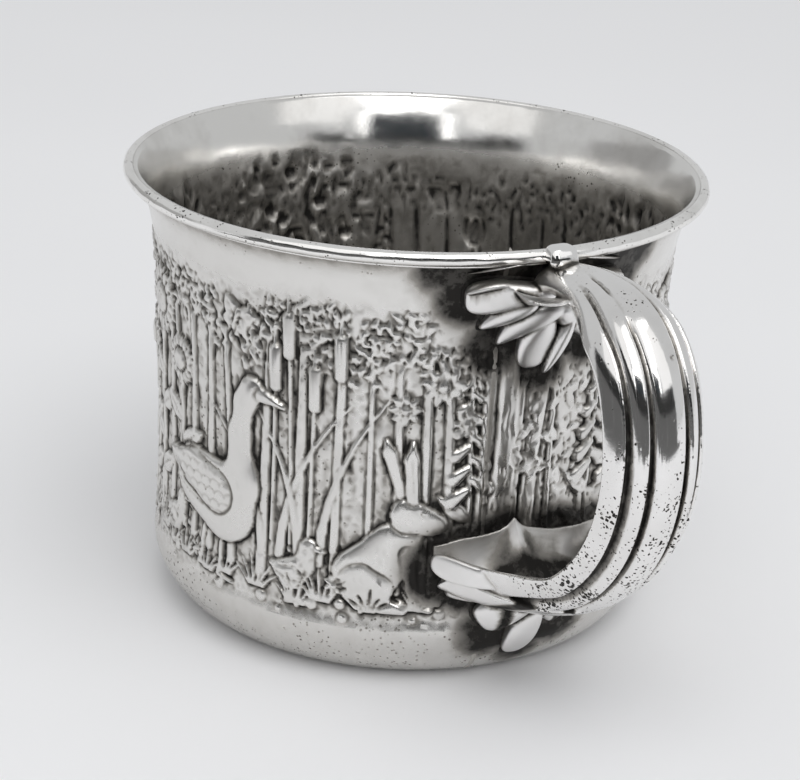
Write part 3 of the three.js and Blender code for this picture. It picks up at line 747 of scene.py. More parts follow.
# %% Bark, leaves and short strokes between the handle's ends
near_handle = np.random.default_rng(11)
form(standing(-4.4, 24), path([(0, 0), (0.5, 14), (-0.1, 29)], [1.9, 1.6, 1.3]),
     0.12, 0.35, 1.5, 0.3, skin=bark)
form(standing(0.2, 24), path([(-0.6, 0), (0, 12), (1.2, 24)], [1.3, 1.0, 0.8]),
     0.1, 0.3, 1.0, 0.3, skin=bark)
for _ in range(44):
    leaf(near_handle.uniform(-2.2, 9.5), near_handle.uniform(31, 50), near_handle.uniform(2.2, 3.6),
         near_handle.uniform(1.1, 1.8), near_handle.uniform(0, 360), 0.1, 0.16)
for _ in range(90):
    u, z = near_handle.uniform(-7, 9), near_handle.uniform(23.5, 33)
    lean = math.radians(near_handle.uniform(40, 130))
    run = near_handle.uniform(0.5, 1.3)
    engrave(standing(u, z), [(0, 0, run * math.cos(lean), run * math.sin(lean))], 0.14, 0.15)
print("trunks, leaves and strokes laid behind the handle")

# %% Trees, tall flowers and reeds
for place in ((-84, 14, 56, 12.5, 7), (51, 14, 56, 12, 8), (118, 13, 55, 11.5, 6)):
    fruit_tree(*place)
for u, top, lean in ((-37, 47, 0.5), (-34, 52, -0.4), (-31.2, 45, 0.6), (-27.8, 50, 0.8)):
    bulrush(u, 20, top, lean)
for u, length, lean, bend in ((-38.5, 24, -8, -50), (-35.6, 27, 6, 42), (-32.6, 25, -5, -36),
                              (-29.6, 28, 5, 38)):
    blade(u, 18, length, lean, bend, 0.75)
for place in ((-63, 48, 5.4, 15, -1.5), (-71, 40, 4.4, 15, 1.2), (-56.2, 41, 3.8, 16, 1)):
    sunflower(*place)
for place in ((-8.5, 16, 50, -1), (10, 18, 50, 1), (14.5, 16, 43, 1.5), (104, 18, 46, -1)):
    foxglove(*place)
for place in ((21, 42, 0.95, 18), (36.5, 43, 0.85, 24), (88, 42, 0.9, 17), (-112, 38, 0.9, 15)):
    tulip(*place)
sheaf(60, 14)
hive(37.5, 20)
print("trees, flowers, reeds and hive laid")

# %% Animals
goose((-47.5, 28.5, 1.12, 1, 0))
gosling((-57.5, 17.5, 1.0, 1, 0))
gosling((-33, 17, 1.1, 1, 0))
rabbit((-20.5, 20.5, 1.08, 1, 0))
rabbit((25.5, 20.5, 1.05, -1, 0))
lamb((79, 24, 1.15, -1, 0))
hen((97, 22, 1.25, 1, 0))
gosling((107, 17, 0.8, 1, 0))
gosling((88.5, 16.6, 0.8, 1, 0))
stork((-101, 33, 1.0, 1, 0))
daisy(-13.2, 45.5, 3.0, 9, 0.25, 10)
daisy(-18.2, 42, 2.3, 8, 0.25)
daisy(-9.8, 40, 2.1, 8, 0.3)
for place in ((-43, 51, 0.9, 70), (29, 51, 0.8, 110), (93, 49, 0.9, 80)):
    butterfly(*place)
print("animals laid")

# %% Ground in front
for u in np.arange(-116, 116, 5.2):
    tuft(u + chance.uniform(-2, 2), 12 + chance.uniform(-0.8, 1.2), chance.uniform(3, 5.2),
         5 + int(chance.integers(0, 4)))
for _ in range(150):
    dot(chance.uniform(0, AROUND), 10.9 + chance.uniform(-1.0, 1.6), chance.uniform(0.25, 0.9),
        0.08, 0.25)
for u in (-75, -52, -26, -6, 19, 46, 69, 92, 110):
    daisy(u + chance.uniform(-1.5, 1.5), 14.5 + chance.uniform(-1, 1), 1.5, 7, 0.3)
print("relief from", round(relief.min(), 2), "to", round(relief.max(), 2), "mm")

# %% [markdown]
# Handling wears a relief: edges round off and the highest parts turn smooth. The map is softened by
# about a tenth of a millimetre, and faded out towards the plain heel, the plain band and the seam.

# %% Wear
SEAM_TURN = math.radians(-10.3)
SEAM_COLUMN = round(SEAM_TURN * UNROLLED / CELL)
DEEPEST, HIGHEST = -0.75, 1.25
fade = np.clip((HEIGHT_AT - 9.2) / 1.4, 0, 1) * np.clip((57.5 - HEIGHT_AT) / 2.5, 0, 1)
relief = softened(relief, 0.1) * fade
relief = np.clip(relief, DEEPEST, HIGHEST)
half_round = COLUMNS // 2
from_seam = np.abs((np.arange(COLUMNS) - SEAM_COLUMN + half_round) % COLUMNS - half_round) * CELL
relief *= np.clip((from_seam - 0.25) / 0.5, 0.12, 1)[None, :]
behind = softened(relief, 0.2)
print("relief after wear from", round(relief.min(), 2), "to", round(relief.max(), 2), "mm")

# %% [markdown]
# ## The wall
# One grid is wrapped round the cup: across it runs once round the wall, and up it goes up the
# outside, over the top edge and down the inside. Each point moves out by the height on the map; the
# inside follows the back of the relief, as in sheet worked from behind. The grid is fine enough for
# a feather, so it is thinned afterwards where the metal is smooth.

# %% The wall's own helpers
def read_map(field, turn, height):
    """Value of a map at an angle round the cup and a height, in radians and millimetres."""
    column = turn * UNROLLED / CELL
    row = np.clip((height - LOW) / CELL, 0, ROWS - 1.001)
    c0, r0 = np.floor(column).astype(int), np.floor(row).astype(int)
    fc, fr = column - c0, row - r0
    c0, c1 = c0 % COLUMNS, (c0 + 1) % COLUMNS
    lower = field[r0, c0] * (1 - fc) + field[r0, c1] * fc
    upper = field[r0 + 1, c0] * (1 - fc) + field[r0 + 1, c1] * fc
    inside = (height > LOW + CELL) & (height < HIGH - CELL)
    return (lower * (1 - fr) + upper * fr) * inside


def dents(turn, height):
    """The slow unevenness of metal worked by hand, a few hundredths of a millimetre."""
    return (0.035 * np.sin(3 * turn + 0.11 * height) * np.sin(0.23 * height + 2 * turn)
            + 0.02 * np.sin(11 * turn + 0.31 * height + 1.3) * np.sin(0.4 * height - 5 * turn)
            + 0.012 * np.sin(23 * turn - 0.5 * height) * np.sin(0.9 * height + 7 * turn))


def positions(mesh):
    flat = np.empty(len(mesh.vertices) * 3)
    mesh.vertices.foreach_get("co", flat)
    return flat.reshape(-1, 3)


def place_vertices(mesh, points):
    mesh.vertices.foreach_set("co", np.ascontiguousarray(points, dtype=np.float32).ravel())
    mesh.update()


def grid_mesh(name, across, up):
    """A flat grid whose corners run from 0 to 1 both ways, once 0.5 is added to them."""
    made = bmesh.new()
    bmesh.ops.create_grid(made, x_segments=across, y_segments=up, size=0.5)
    return as_mesh(made, name)


@contextmanager
def opened(mesh):
    """Opens a mesh for work with bmesh, then turns its faces outwards and writes it back."""
    made = bmesh.new()
    made.from_mesh(mesh)
    yield made
    bmesh.ops.recalc_face_normals(made, faces=made.faces)
    made.to_mesh(mesh)
    made.free()


def join_corners(made, gap=1e-6):
    bmesh.ops.remove_doubles(made, verts=made.verts, dist=gap)


def shown(name, mesh, slot, *nodes):
    """Puts a piece in the scene: smooth, riding on the cup, in the place of its CAD nodes."""
    mesh.shade_smooth()
    made = in_scene(name, mesh)
    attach(made, "root")
    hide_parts(*nodes)
    return made


def with_modifier(made, kind, **settings):
    """Applies one modifier, and keeps what it made as the piece's mesh."""
    step = made.modifiers.new(kind.title(), kind)
    for name, value in settings.items():
        setattr(step, name, value)
    worked_out = made.evaluated_get(bpy.context.evaluated_depsgraph_get())
    fresh = bpy.data.meshes.new_from_object(worked_out)
    made.modifiers.clear()
    old, made.data = made.data, fresh
    bpy.data.meshes.remove(old)
    fresh.name = made.name
    return made


def keep_numbers(mesh, name, values):
    layer = mesh.attributes.new(name, "FLOAT", "POINT")
    layer.data.foreach_set("value", np.ascontiguousarray(values, dtype=np.float32))


def keep_unwrapping(mesh, first, second):
    """Stores a place on a 0 to 1 sheet for every corner, from numbers that go round and up."""
    corner_vertex = np.empty(len(mesh.loops), dtype=np.int32)
    mesh.loops.foreach_get("vertex_index", corner_vertex)
    sheet = np.stack([first[corner_vertex], second[corner_vertex]], 1)
    starts, totals = (np.empty(len(mesh.polygons), dtype=np.int32) for _ in range(2))
    mesh.polygons.foreach_get("loop_start", starts)
    mesh.polygons.foreach_get("loop_total", totals)
    for way in (0, 1):
        spread = (np.maximum.reduceat(sheet[:, way], starts)
                  - np.minimum.reduceat(sheet[:, way], starts))
        wraps = np.repeat(spread > 0.5, totals)
        sheet[:, way] = np.where(wraps & (sheet[:, way] < 0.5), 1.0, sheet[:, way])
    layer = mesh.uv_layers.new(name="OFBake")
    layer.data.foreach_set("uv", (0.002 + 0.996 * sheet).astype(np.float32).ravel())


# %% Wrap the grid
coarse = 1
STEPS_ROUND, FLANGE_ROWS, HEEL_BULGE = 1000, 4, 0.4
outer, outward = outline(37 // coarse, 206 // coarse, 60 // coarse)
inner, inward = outline(21 // coarse, 110 // coarse, 30 // coarse)
flange = np.linspace(SEAT, FOOT_RADIUS, FLANGE_ROWS + 1)[:-1]
downward = np.tile([0.0, -1.0], (FLANGE_ROWS, 1))
line = np.concatenate([np.stack([flange, 0 * flange], 1), outer, inner[::-1],
                       np.stack([flange[::-1], 0 * flange], 1)])
facing = np.concatenate([downward, outward, inward[::-1], downward])
is_outer = np.concatenate([np.ones(FLANGE_ROWS + len(outer)), np.zeros(len(inner) + FLANGE_ROWS)])
line, facing, is_outer = (np.concatenate([part, part[:1]]) for part in (line, facing, is_outer))


def rows_of(share, count):
    """The row of the grid that each corner lies in."""
    return np.clip(np.rint(share * (count - 1)).astype(int), 0, count - 1)


wall_mesh = grid_mesh("cup_wall", STEPS_ROUND // coarse, len(line) - 1)
share = positions(wall_mesh) + 0.5
turn = share[:, 0] * 2 * math.pi + SEAM_TURN
row = rows_of(share[:, 1], len(line))
radius, height, out = line[row, 0], line[row, 1], is_outer[row]
offset = np.where(out > 0.5, read_map(relief, turn, height),
                  read_map(behind, turn, height) * 0.9 - GAUGE)
calm = np.clip((height - 1) / 5, 0, 1) * np.clip((WALL_TOP - height) / 3, 0, 1)
offset += dents(turn, height) * calm
over_foot, under_frieze = np.clip((height - 4.5) / 2.5, 0, 1), np.clip((10.6 - height) / 1.6, 0, 1)
offset += out * HEEL_BULGE * over_foot * under_frieze
radius = radius + facing[row, 0] * offset
height = np.minimum(height + facing[row, 1] * offset, WALL_TOP)
round_the_cup = np.stack([radius * np.cos(turn), radius * np.sin(turn), height], 1)
place_vertices(wall_mesh, round_the_cup * MM)
keep_numbers(wall_mesh, "outer", out)
with opened(wall_mesh) as made:
    join_corners(made)
wall = shown("cup_wall", wall_mesh, "wall_silver", "wall")
print("wall wrapped:", len(wall.data.polygons), "faces")

# %% Thin the wall where it is smooth
MOST_TRIANGLES = 196000


def triangle_count(mesh):
    return sum(len(face.vertices) - 2 for face in mesh.polygons)


kept_share = min(1.0, MOST_TRIANGLES / (2 * len(wall.data.polygons)))
wall = with_modifier(wall, "DECIMATE", ratio=kept_share)
points = positions(wall.data) / MM
turn = np.arctan2(points[:, 1], points[:, 0])
height = points[:, 2]
flag = np.empty(len(points), dtype=np.float32)
wall.data.attributes["outer"].data.foreach_get("value", flag)
out = flag > 0.5
print("wall thinned:", triangle_count(wall.data), "triangles")

# %% [markdown]
# Silver tarnishes black, and polishing only reaches what stands proud. So the darkness follows the
# relief: it is deepest in the grooves, weaker in wide hollows, and heavy round the soldered ends of
# the handle, where the polishing cloth never gets. It is worked out from the same map. Painted
# shade is added to it under the lip, on the heel, on one side of the cup and inside it.

# %% Tarnish and painted shade of the wall
UPPER_SOOT = [(0, 59, 5, -11, 58.5, 2.7), (0, 59, 5, 11, 58.5, 2.7), (0, 58, 5, -7, 51, 2.4),
              (0, 58, 5, 7, 51, 2.4), (0, 58, 4.5, 0, 48, 2.4), (-15, 61.8, 1.2, 15, 61.8, 1.2)]
LOWER_SOOT = [(0, 16, 6, -12.5, 18.5, 3.6), (0, 16, 6, 12.5, 18.5, 3.6),
              (-12, 22, 1.2, -3, 24.5, 1), (12, 22, 1.2, 3, 23.5, 1),
              (0, 14, 4, -6, 8.5, 2.2), (0, 14, 4, 6, 8.5, 2.2), (0, 12, 4, 0, 5.5, 2)]


def soot(u, z):
    """Blackening round the handle's two ends, at a place on the unrolled wall."""
    near = np.max([strand(u, z, stroke) for stroke in UPPER_SOOT + LOWER_SOOT], axis=0)
    return np.clip(1.15 + near / 4.2, 0, 1) ** 2


def facing_turn(direction):
    """How squarely each point of the wall faces a direction round the cup, from 0 to 1."""
    return np.clip(np.cos(turn - direction), 0, 1)


cavity = np.clip((softened(relief, 0.45) - relief) * 4.2, 0, 1)
hollow = np.clip((softened(relief, 1.8) - relief) * 1.1, 0, 1)
cavity_behind = np.clip((behind - softened(behind, 0.6)) * 4.5, 0, 0.85)
around_cup = turn * UNROLLED
patches = 0.5 + 0.5 * np.sin(0.21 * around_cup + 1.2 * np.sin(0.17 * height)) * np.sin(
    0.16 * height + 0.05 * around_cup)
# Painted shade: darker on the side facing about -105 degrees round, and on the heel below 12 mm.
painted_side_and_heel_shade = 0.1 * facing_turn(math.radians(-105)) + 0.17 * np.clip((12 - height) / 5, 0, 1)
# Painted shade in a band just under the lip, strongest on the side towards the camera.
under_lip_shade = 0.5 * np.exp(-((height - 62.9) / 1.3) ** 2) * (0.35 + 0.65 * facing_turn(-0.5))
chased = np.clip((height - 9) / 3, 0, 1) * np.clip((58.5 - height) / 3, 0, 1)
# Inside the chased band: tarnish film in patches with painted shade, darker on the side facing
# about 75 degrees round.
inside_film_and_shade = 0.26 + 0.2 * patches + 0.16 * facing_turn(1.3) ** 2
outside_tarnish_and_shade = (read_map(cavity, turn, height) + painted_side_and_heel_shade + under_lip_shade
                   + read_map(hollow, turn, height) * (0.7 + 0.35 * patches))
inside_tarnish_and_shade = read_map(cavity_behind, turn, height) + chased * inside_film_and_shade
# The kept darkening is tarnish outside and inside, with the painted shade above added to it.
tarnish_and_shade = np.where(out, np.maximum(outside_tarnish_and_shade, soot(around_cup, height)), inside_tarnish_and_shade)
keep_numbers(wall.data, "tarnish_and_shade", np.clip(tarnish_and_shade, 0, 1))
keep_unwrapping(wall.data, ((turn - SEAM_TURN) / (2 * math.pi)) % 1,
                np.where(out, 0.02 + 0.56 * height / WALL_TOP, 0.98 - 0.36 * height / WALL_TOP))
print("tarnish from", round(float(tarnish_and_shade.min()), 2), "to", round(float(tarnish_and_shade.max()), 2))

# %% [markdown]
# ## Silver
# Silver is a metal with a very pale, slightly warm colour. Three things make it look used: tarnish
# in the hollows, fine wiping marks that blur the reflection, and tiny pits where it has corroded.
# The same grey and black also paint shade where a piece's darkening number carries it.


# %% Silver finish
STAIN_AND_SHADE_GREY, TARNISH_AND_SHADE_BLACK = (0.42, 0.40, 0.37), (0.035, 0.033, 0.031)


def kept_number(tree, name):
    """Reads a number that is stored at each corner of the mesh."""
    return node(tree, "ShaderNodeAttribute", attribute_name=name).outputs["Fac"]


def spots(tree, at, scale):
    """Distance to the nearest of many scattered points."""
    settings = {"Vector": at, "Scale": scale, "Randomness": 1}
    return node(tree, "ShaderNodeTexVoronoi", settings).outputs["Distance"]


def stipple(tree, at, cloud, tarnish_and_shade_level, strength):
    """Fine dark dots, in patches, where the kept darkening, tarnish with painted shade, is raised.
    """
    held = maths(tree, "MULTIPLY", between(tree, tarnish_and_shade_level, 0.03, 0.25), between(tree, cloud, 0.4, 0.6))
    return maths(tree, "MULTIPLY", between(tree, spots(tree, at, 1250), 0.34, 0.16),
                 maths(tree, "MULTIPLY", held, strength))


def corrosion(tree, at, pits, dull):
    """Ragged pits in clusters, more of them low on the handle and none on the satin leaves."""
    ragged = node(tree, "ShaderNodeTexNoise", {"Vector": at, "Scale": 2200, "Detail": 2.0})
    moved = node(tree, "ShaderNodeVectorMath",
                 {0: ragged.outputs["Color"], 1: (0.0006, 0.0006, 0.0006), 2: at},
                 operation="MULTIPLY_ADD")
    height = node(tree, "ShaderNodeSeparateXYZ", {"Vector": at}).outputs["Z"]
    low = maths(tree, "MULTIPLY", between(tree, height, 0.052, 0.036), 0.16)
    spread = maths(tree, "ADD", noise(tree, at, 230, 4.0, 0.7), low)
    where = between(tree, spread, 0.59 - 0.12 * pits, 0.80)
    if dull:
        where = maths(tree, "MULTIPLY", where, between(tree, dull, 0.0, 0.5, 1.0, 0.0))
    where = maths(tree, "MULTIPLY", where, 0.6)
    deep = maths(tree, "SUBTRACT", where, spots(tree, moved.outputs[0], 1900))
    return between(tree, deep, 0.0, 0.1)


def silver(name, tint, gloss, film, pits=0.0, tarnish_and_shade=None, satin=None, stippled=0.0):
    """Tarnished silver. Tarnish and satin name numbers that the mesh keeps; the tarnish number also
    holds painted shade on the wall, the handle and the lip.
    """
    made = bpy.data.materials.new(name)
    made.use_nodes = True
    tree = made.node_tree
    shader = tree.nodes["Principled BSDF"]
    at = node(tree, "ShaderNodeTexCoord").outputs["Object"]
    cloud = noise(tree, at, 90, 4.0, 0.6)
    dull = kept_number(tree, satin) if satin else None
    dark = maths(tree, "MULTIPLY", between(tree, cloud, 0.45, 0.8), film)
    if tarnish_and_shade:
        tarnish_and_shade_level = kept_number(tree, tarnish_and_shade)
        grime = between(tree, noise(tree, at, 420, 5.0, 0.65), 0.42, 0.75, 0.92, 1.25)
        dark = maths(tree, "MAXIMUM", maths(tree, "MULTIPLY", tarnish_and_shade_level, grime, clamp=True), dark)
    if stippled:
        dark = maths(tree, "MAXIMUM", dark, stipple(tree, at, cloud, tarnish_and_shade_level, stippled))
    if pits:
        dark = maths(tree, "MAXIMUM", dark, corrosion(tree, at, pits, dull))
    # The darkening turns the colour grey, then black; it stands for tarnish and, on the wall, the
    # handle and the lip, painted shade.
    stain_and_shade = blend_colours(tree, between(tree, dark, 0.0, 0.5), tint, STAIN_AND_SHADE_GREY)
    stain_and_shade = blend_colours(tree, between(tree, dark, 0.35, 1.0), stain_and_shade, TARNISH_AND_SHADE_BLACK)
    tree.links.new(stain_and_shade, shader.inputs["Base Color"])
    shader.inputs["Metallic"].default_value = 1
    wiped = between(tree, noise(tree, at, 260, 5.0, 0.7), 0.3, 0.7, gloss * 0.8, gloss * 1.35)
    rough = maths(tree, "ADD", wiped, maths(tree, "MULTIPLY", dark, 0.35))
    if satin:
        rough = maths(tree, "ADD", rough, maths(tree, "MULTIPLY", dull, 0.24))
    tree.links.new(rough, shader.inputs["Roughness"])
    fine = maths(tree, "MULTIPLY", noise(tree, at, 1400, 3.0, 0.6), 0.25)
    sunk = maths(tree, "SUBTRACT", fine, maths(tree, "MULTIPLY", dark, 0.6 if pits else 0.2))
    bump = node(tree, "ShaderNodeBump", {"Height": sunk, "Strength": 0.25, "Distance": 0.0001})
    tree.links.new(bump.outputs["Normal"], shader.inputs["Normal"])
    return made


keep_numbers(wall.data, "satin", np.clip(chased + 0.15, 0, 1) * 0.55)
wall.data.materials.append(silver("chased_silver", (0.82, 0.81, 0.79), 0.12, 0.25,
                                  tarnish_and_shade="tarnish_and_shade", satin="satin", stippled=0.8))
print("materials:", [m.name for m in bpy.data.materials])

# %% [markdown]
# ## The handle
# The handle is one casting. A hollow-backed strap of five strands springs from a nub on the lip,
# swings out and comes back low on the wall, where it spreads into a scoop. Leaves fan out on the
# wall from both ends. The strap is a grid laid along the CAD model's path; each leaf is a sphere
# drawn out along its own spine. A voxel remesh then casts all of them into one skin.

# %% Strap path and section, in millimetres
REACH, BELLY, FOOT_HEIGHT = 69.8, 44.3, 12.7
HALF_WIDTH, CROWN, THICKNESS = 7.3, 4.6, 1.7
ROOT_HALF_WIDTH, FOOT_HALF_WIDTH, FOOT_CROWN = 3.9, 12.6, 8.2
GROOVES, GROOVE_STARTS = (-5.0, -2.5, 2.5, 5.0), (0.07, 0.17, 0.10, 0.10)
UPPER_PATH = [(39.4, 62.85), (REACH - 2.6, 72.2), (REACH, BELLY + 6.8), (REACH, BELLY)]
LOWER_PATH = [(REACH, BELLY), (REACH, BELLY - 13), (REACH - 9.8, FOOT_HEIGHT + 4.5),
              (35.5, FOOT_HEIGHT - 1.5)]


def smooth_step(value, low, high):
    share = np.clip((value - low) / (high - low), 0, 1)
    return share * share * (3 - 2 * share)


def on_path(share):
    """Point and direction on the handle's path, from the lip at 0 to the wall at 1."""
    fine = np.linspace(0, 1, 401)
    points, along = curve(UPPER_PATH, 401)
    points_low, along_low = curve(LOWER_PATH, 401)
    whole = np.concatenate([fine / 2, 0.5 + fine[1:] / 2])
    places = np.concatenate([points, points_low[1:]])
    ways = np.concatenate([along, along_low[1:]])
    return ([np.interp(share, whole, places[:, i]) for i in (0, 1)],
            [np.interp(share, whole, ways[:, i]) for i in (0, 1)])


def crown_at(across):
    radius = (HALF_WIDTH ** 2 + CROWN ** 2) / (2 * CROWN)
    return radius - np.sqrt(np.maximum(radius ** 2 - across ** 2, 0))


def section_at(share):
    """How much wider and rounder the strap's section is than at its middle, along its path."""
    root, foot = 1 - smooth_step(share, 0, 0.2), smooth_step(share, 0.8, 1)
    width = (1 + root * (ROOT_HALF_WIDTH / HALF_WIDTH - 1)
             + foot * (FOOT_HALF_WIDTH / HALF_WIDTH - 1))
    return width, width + foot * (FOOT_CROWN / CROWN - width)


def on_strap(share, across, depth):
    """Place of a point of the strap's section: how far along, across, and in from the crown."""
    (x, z), (along_x, along_z) = on_path(share)
    width, crown = section_at(share)
    below = crown_at(across) * crown + depth
    return np.stack([x + along_z * below, across * width, z - along_x * below], -1)


def strands_at(across):
    """How far the rounded top of each strand falls away towards its two edges."""
    edges = (-HALF_WIDTH, *GROOVES, HALF_WIDTH)
    depth = 0 * across
    for low, high in zip(edges, edges[1:]):
        reach = np.abs(across - (low + high) / 2) / ((high - low) / 2)
        depth = depth + 0.34 * np.clip(reach, 0, 1) ** 2.6 * (reach <= 1)
    return depth


def grooves_at(share, across):
    """Depth of the grooves between the strands; they start one after another below the lip."""
    depth = 0 * across
    for edge, start in zip(GROOVES, GROOVE_STARTS):
        on = smooth_step(share, start, start + 0.05)
        if edge == -2.5:
            on = on + smooth_step(share, 0.07, 0.09) * (1 - smooth_step(share, 0.115, 0.135))
        width = 0.26 + 0.2 * smooth_step(share, 0.25, 0.55)
        deepest = 0.7 + 0.45 * smooth_step(share, 0.25, 0.6)
        depth = depth + deepest * on * np.exp(-((across - edge) / width) ** 2)
    return depth * smooth_step(share, 0.02, 0.1)


def outer_face(share, across):
    """The strap's outer face, with one small dent from a knock."""
    dent = 0.4 * np.exp(-((share - 0.262) / 0.0065) ** 2 - ((across - 1.3) / 0.45) ** 2)
    return (0.1 + strands_at(across) * smooth_step(share, 0.02, 0.1) + grooves_at(share, across)
            + dent)


# %% Strap
def strap_mesh():
    outer_count, inner_count, rings = 96 // coarse, 44 // coarse, 360 // coarse
    inner_edge = HALF_WIDTH - 0.5
    across = np.concatenate([np.linspace(-HALF_WIDTH, HALF_WIDTH, outer_count),
                             np.linspace(inner_edge, -inner_edge, inner_count)])
    under = np.concatenate([np.zeros(outer_count), np.full(inner_count, THICKNESS)])
    across, under = np.append(across, across[0]), np.append(under, under[0])
    mesh = grid_mesh("strap", len(across) - 1, rings)
    share = positions(mesh) + 0.5
    column = rows_of(share[:, 0], len(across))
    along, width, deep = share[:, 1], across[column], under[column]
    depth = np.where(deep > 0, deep, outer_face(along, width))
    place_vertices(mesh, on_strap(along, width, depth) * MM)
    with opened(mesh) as made:
        join_corners(made)
        open_edges = [edge for edge in made.edges if edge.is_boundary]
        bmesh.ops.holes_fill(made, edges=open_edges, sides=0)
    return mesh


# %% Leaves of the casting
ROOTED = 0.7


def bent(first, middle, last, share):
    """A value that goes from the first over the middle to the last."""
    return first * (1 - share) ** 2 + middle * 2 * share * (1 - share) + last * share ** 2


def on_wall(u, z, rise):
    """A place at a distance round the wall, a height and a rise over the wall."""
    angle, radius = u / wall_radius(z), wall_radius(z) + rise
    return np.stack([radius * np.cos(angle), radius * np.sin(angle), z], 1)


def lobe_mesh(spine, widths, blunt=1.0, hollow=0.0, thick=0.0, margin=0.0):
    """A leaf along a bent spine of (round, height, rise), with a width at each point. It stands on
    the wall, or is a free flange where it is given a thickness."""
    made = bmesh.new()
    bmesh.ops.create_uvsphere(made, u_segments=40, v_segments=30, radius=1)
    mesh = as_mesh(made, "lobe")
    ball = positions(mesh)
    share = np.clip((ball[:, 2] + 1) / 2, 0, 1)
    first, middle, last = (np.array(corner, float) for corner in spine)
    t = (share * (1 + margin / np.hypot(*(last - first)[:2])))[:, None]
    centre = bent(first, middle, last, t)
    ahead = (middle - first) * (1 - t) + (last - middle) * t
    ahead = ahead[:, :2] / np.linalg.norm(ahead[:, :2], axis=1)[:, None]
    wide = bent(*widths, share) / 2 + margin
    round_out = np.hypot(ball[:, 0], ball[:, 1])
    fuller = np.where(round_out > 1e-6, round_out ** (blunt - 1), 0)
    sideways, upwards = ball[:, 0] * fuller, ball[:, 1] * fuller
    upwards = np.sign(upwards) * np.abs(upwards) ** 0.65
    u = centre[:, 0] - ahead[:, 1] * sideways * wide
    z = centre[:, 1] + ahead[:, 0] * sideways * wide
    if thick:
        rise = centre[:, 2] + upwards * thick / 2
    else:
        rise = (centre[:, 2] + ROOTED) / 2 * (1 + upwards) - ROOTED
    rise = rise - hollow * (1 - sideways ** 2) * np.clip(upwards, 0, 1) * share
    place_vertices(mesh, on_wall(u, z, rise) * MM)
    return mesh


def mirrored(leaves):
    """The leaves and their twins on the other side of the handle, which are a little shorter."""
    twins = [([(-0.9 * u, z - 0.3, rise) for u, z, rise in spine], *rest)
             for spine, *rest in leaves]
    return leaves + twins


UPPER_LEAVES = mirrored([
    ([(-0.8, 59.2, 4.8), (-6.5, 59.2, 3.6), (-12.0, 58.5, 2.4)], (3.0, 3.4, 6.8), 0.62, 0.6),
    ([(-2.8, 57.9, 4.4), (-6.4, 56.8, 3.2), (-9.4, 53.9, 1.3)], (2.4, 3.7, 1.6), 0.85, 0.0),
    ([(1.2, 56.8, 4.6), (-3.6, 56.7, 4.2), (-6.8, 51.5, 1.4)], (2.6, 5.4, 2.0), 0.85, 0.2),
]) + [
    ([(-1.0, 56.4, 4.2), (-1.8, 52.6, 3.0), (-1.8, 47.7, 1.4)], (3.2, 5.4, 5.4), 0.66, 0.35),
    ([(2.2, 55.6, 4.4), (1.5, 52.0, 3.6), (0.2, 46.7, 1.7)], (1.8, 2.8, 1.2), 0.9, 0.0),
]
LIP_RIDGES = mirrored([
    ([(-6.6, 60.9, 3.2), (-9.6, 61.2, 3.0), (-12.1, 59.4, 2.4)], (0.8, 1.3, 0.9), 0.9, 0.0),
    ([(-3.0, 64.0, 1.4), (-6.5, 63.4, 1.2), (-12.6, 61.9, 0.5)], (0.7, 0.7, 0.5), 1.0, 0.0),
])
SCOOP_RIMS = mirrored([
    ([(-1.6, 21.4, 12.6), (-8.4, 20.1, 8.2), (-13.9, 20.9, 2.5)], (1.4, 2.5, 5.0), 0.7, 0.5, 2.2),
])
NECKS = mirrored([
    ([(-6.0, 58.8, 1.6), (-4.4, 59.8, 5.5), (-4.9, 62.0, 13.0)], (3.4, 4.6, 4.2), 0.9, 0.0, 2.6),
])
LOWER_LEAVES = mirrored([
    ([(-2.2, 15.9, 6.4), (-7.8, 16.8, 4.9), (-11.6, 15.1, 1.6)], (2.4, 3.8, 2.0), 0.8, 0.0),
    ([(0.2, 14.2, 5.2), (-3.4, 13.0, 3.8), (-7.0, 10.6, 1.7)], (2.4, 4.6, 6.2), 0.62, 0.0),
]) + [
    ([(0.6, 13.2, 5.0), (-0.8, 10.0, 3.6), (-1.4, 4.7, 1.4)], (2.6, 4.4, 5.0), 0.66, 0.15),
]
print(len(UPPER_LEAVES), "upper leaves and", len(LOWER_LEAVES), "lower leaves")

# %% [markdown]
# The scoop has two shallow dishes inside, left and right of a ridge that comes down from a point on
# the wall. It is a curved sheet from an outline on the wall to the inside of the strap, thickened
# before the casting is made whole.

# %% Scoop and nub
SCOOP_EDGE = ((-13.7, -9.8, -6.5, -4.2, -2.2, 0.9, 4.3, 9.2, 13.5),
              (22.0, 23.1, 23.5, 23.9, 24.1, 23.6, 22.7, 22.2, 22.0))


def scoop_sheet(a, t):
    """Place of a point of the scoop's sheet: a goes across it from -1 to 1, and t from the wall to
    the strap."""
    u = 13.6 * a
    z = np.interp(u, *SCOOP_EDGE) + 1.6 * np.exp(-(np.abs(u + 2.2) / 1.1) ** 1.3) * (1 - t) ** 3
    radius = wall_radius(z) + 0.5
    start = np.stack([radius * np.cos(u / radius), radius * np.sin(u / radius), z], 1)
    end = on_strap(0.835 + 0.135 * np.abs(a) ** 2.2, a * (HALF_WIDTH - 0.8), THICKNESS * 0.8)
    ridge = 2.3 * np.exp(-(np.abs(a + 0.16) / 0.2) ** 1.7) * np.clip(1 - t * 2.2, 0, 1) ** 1.2
    sag = np.sin(math.pi * t ** 0.8) * (5.0 - ridge) * (1 - 0.35 * np.abs(a) ** 4)
    return start * (1 - t[:, None]) + end * t[:, None] + np.outer(sag, (-0.25, 0, -1.0))


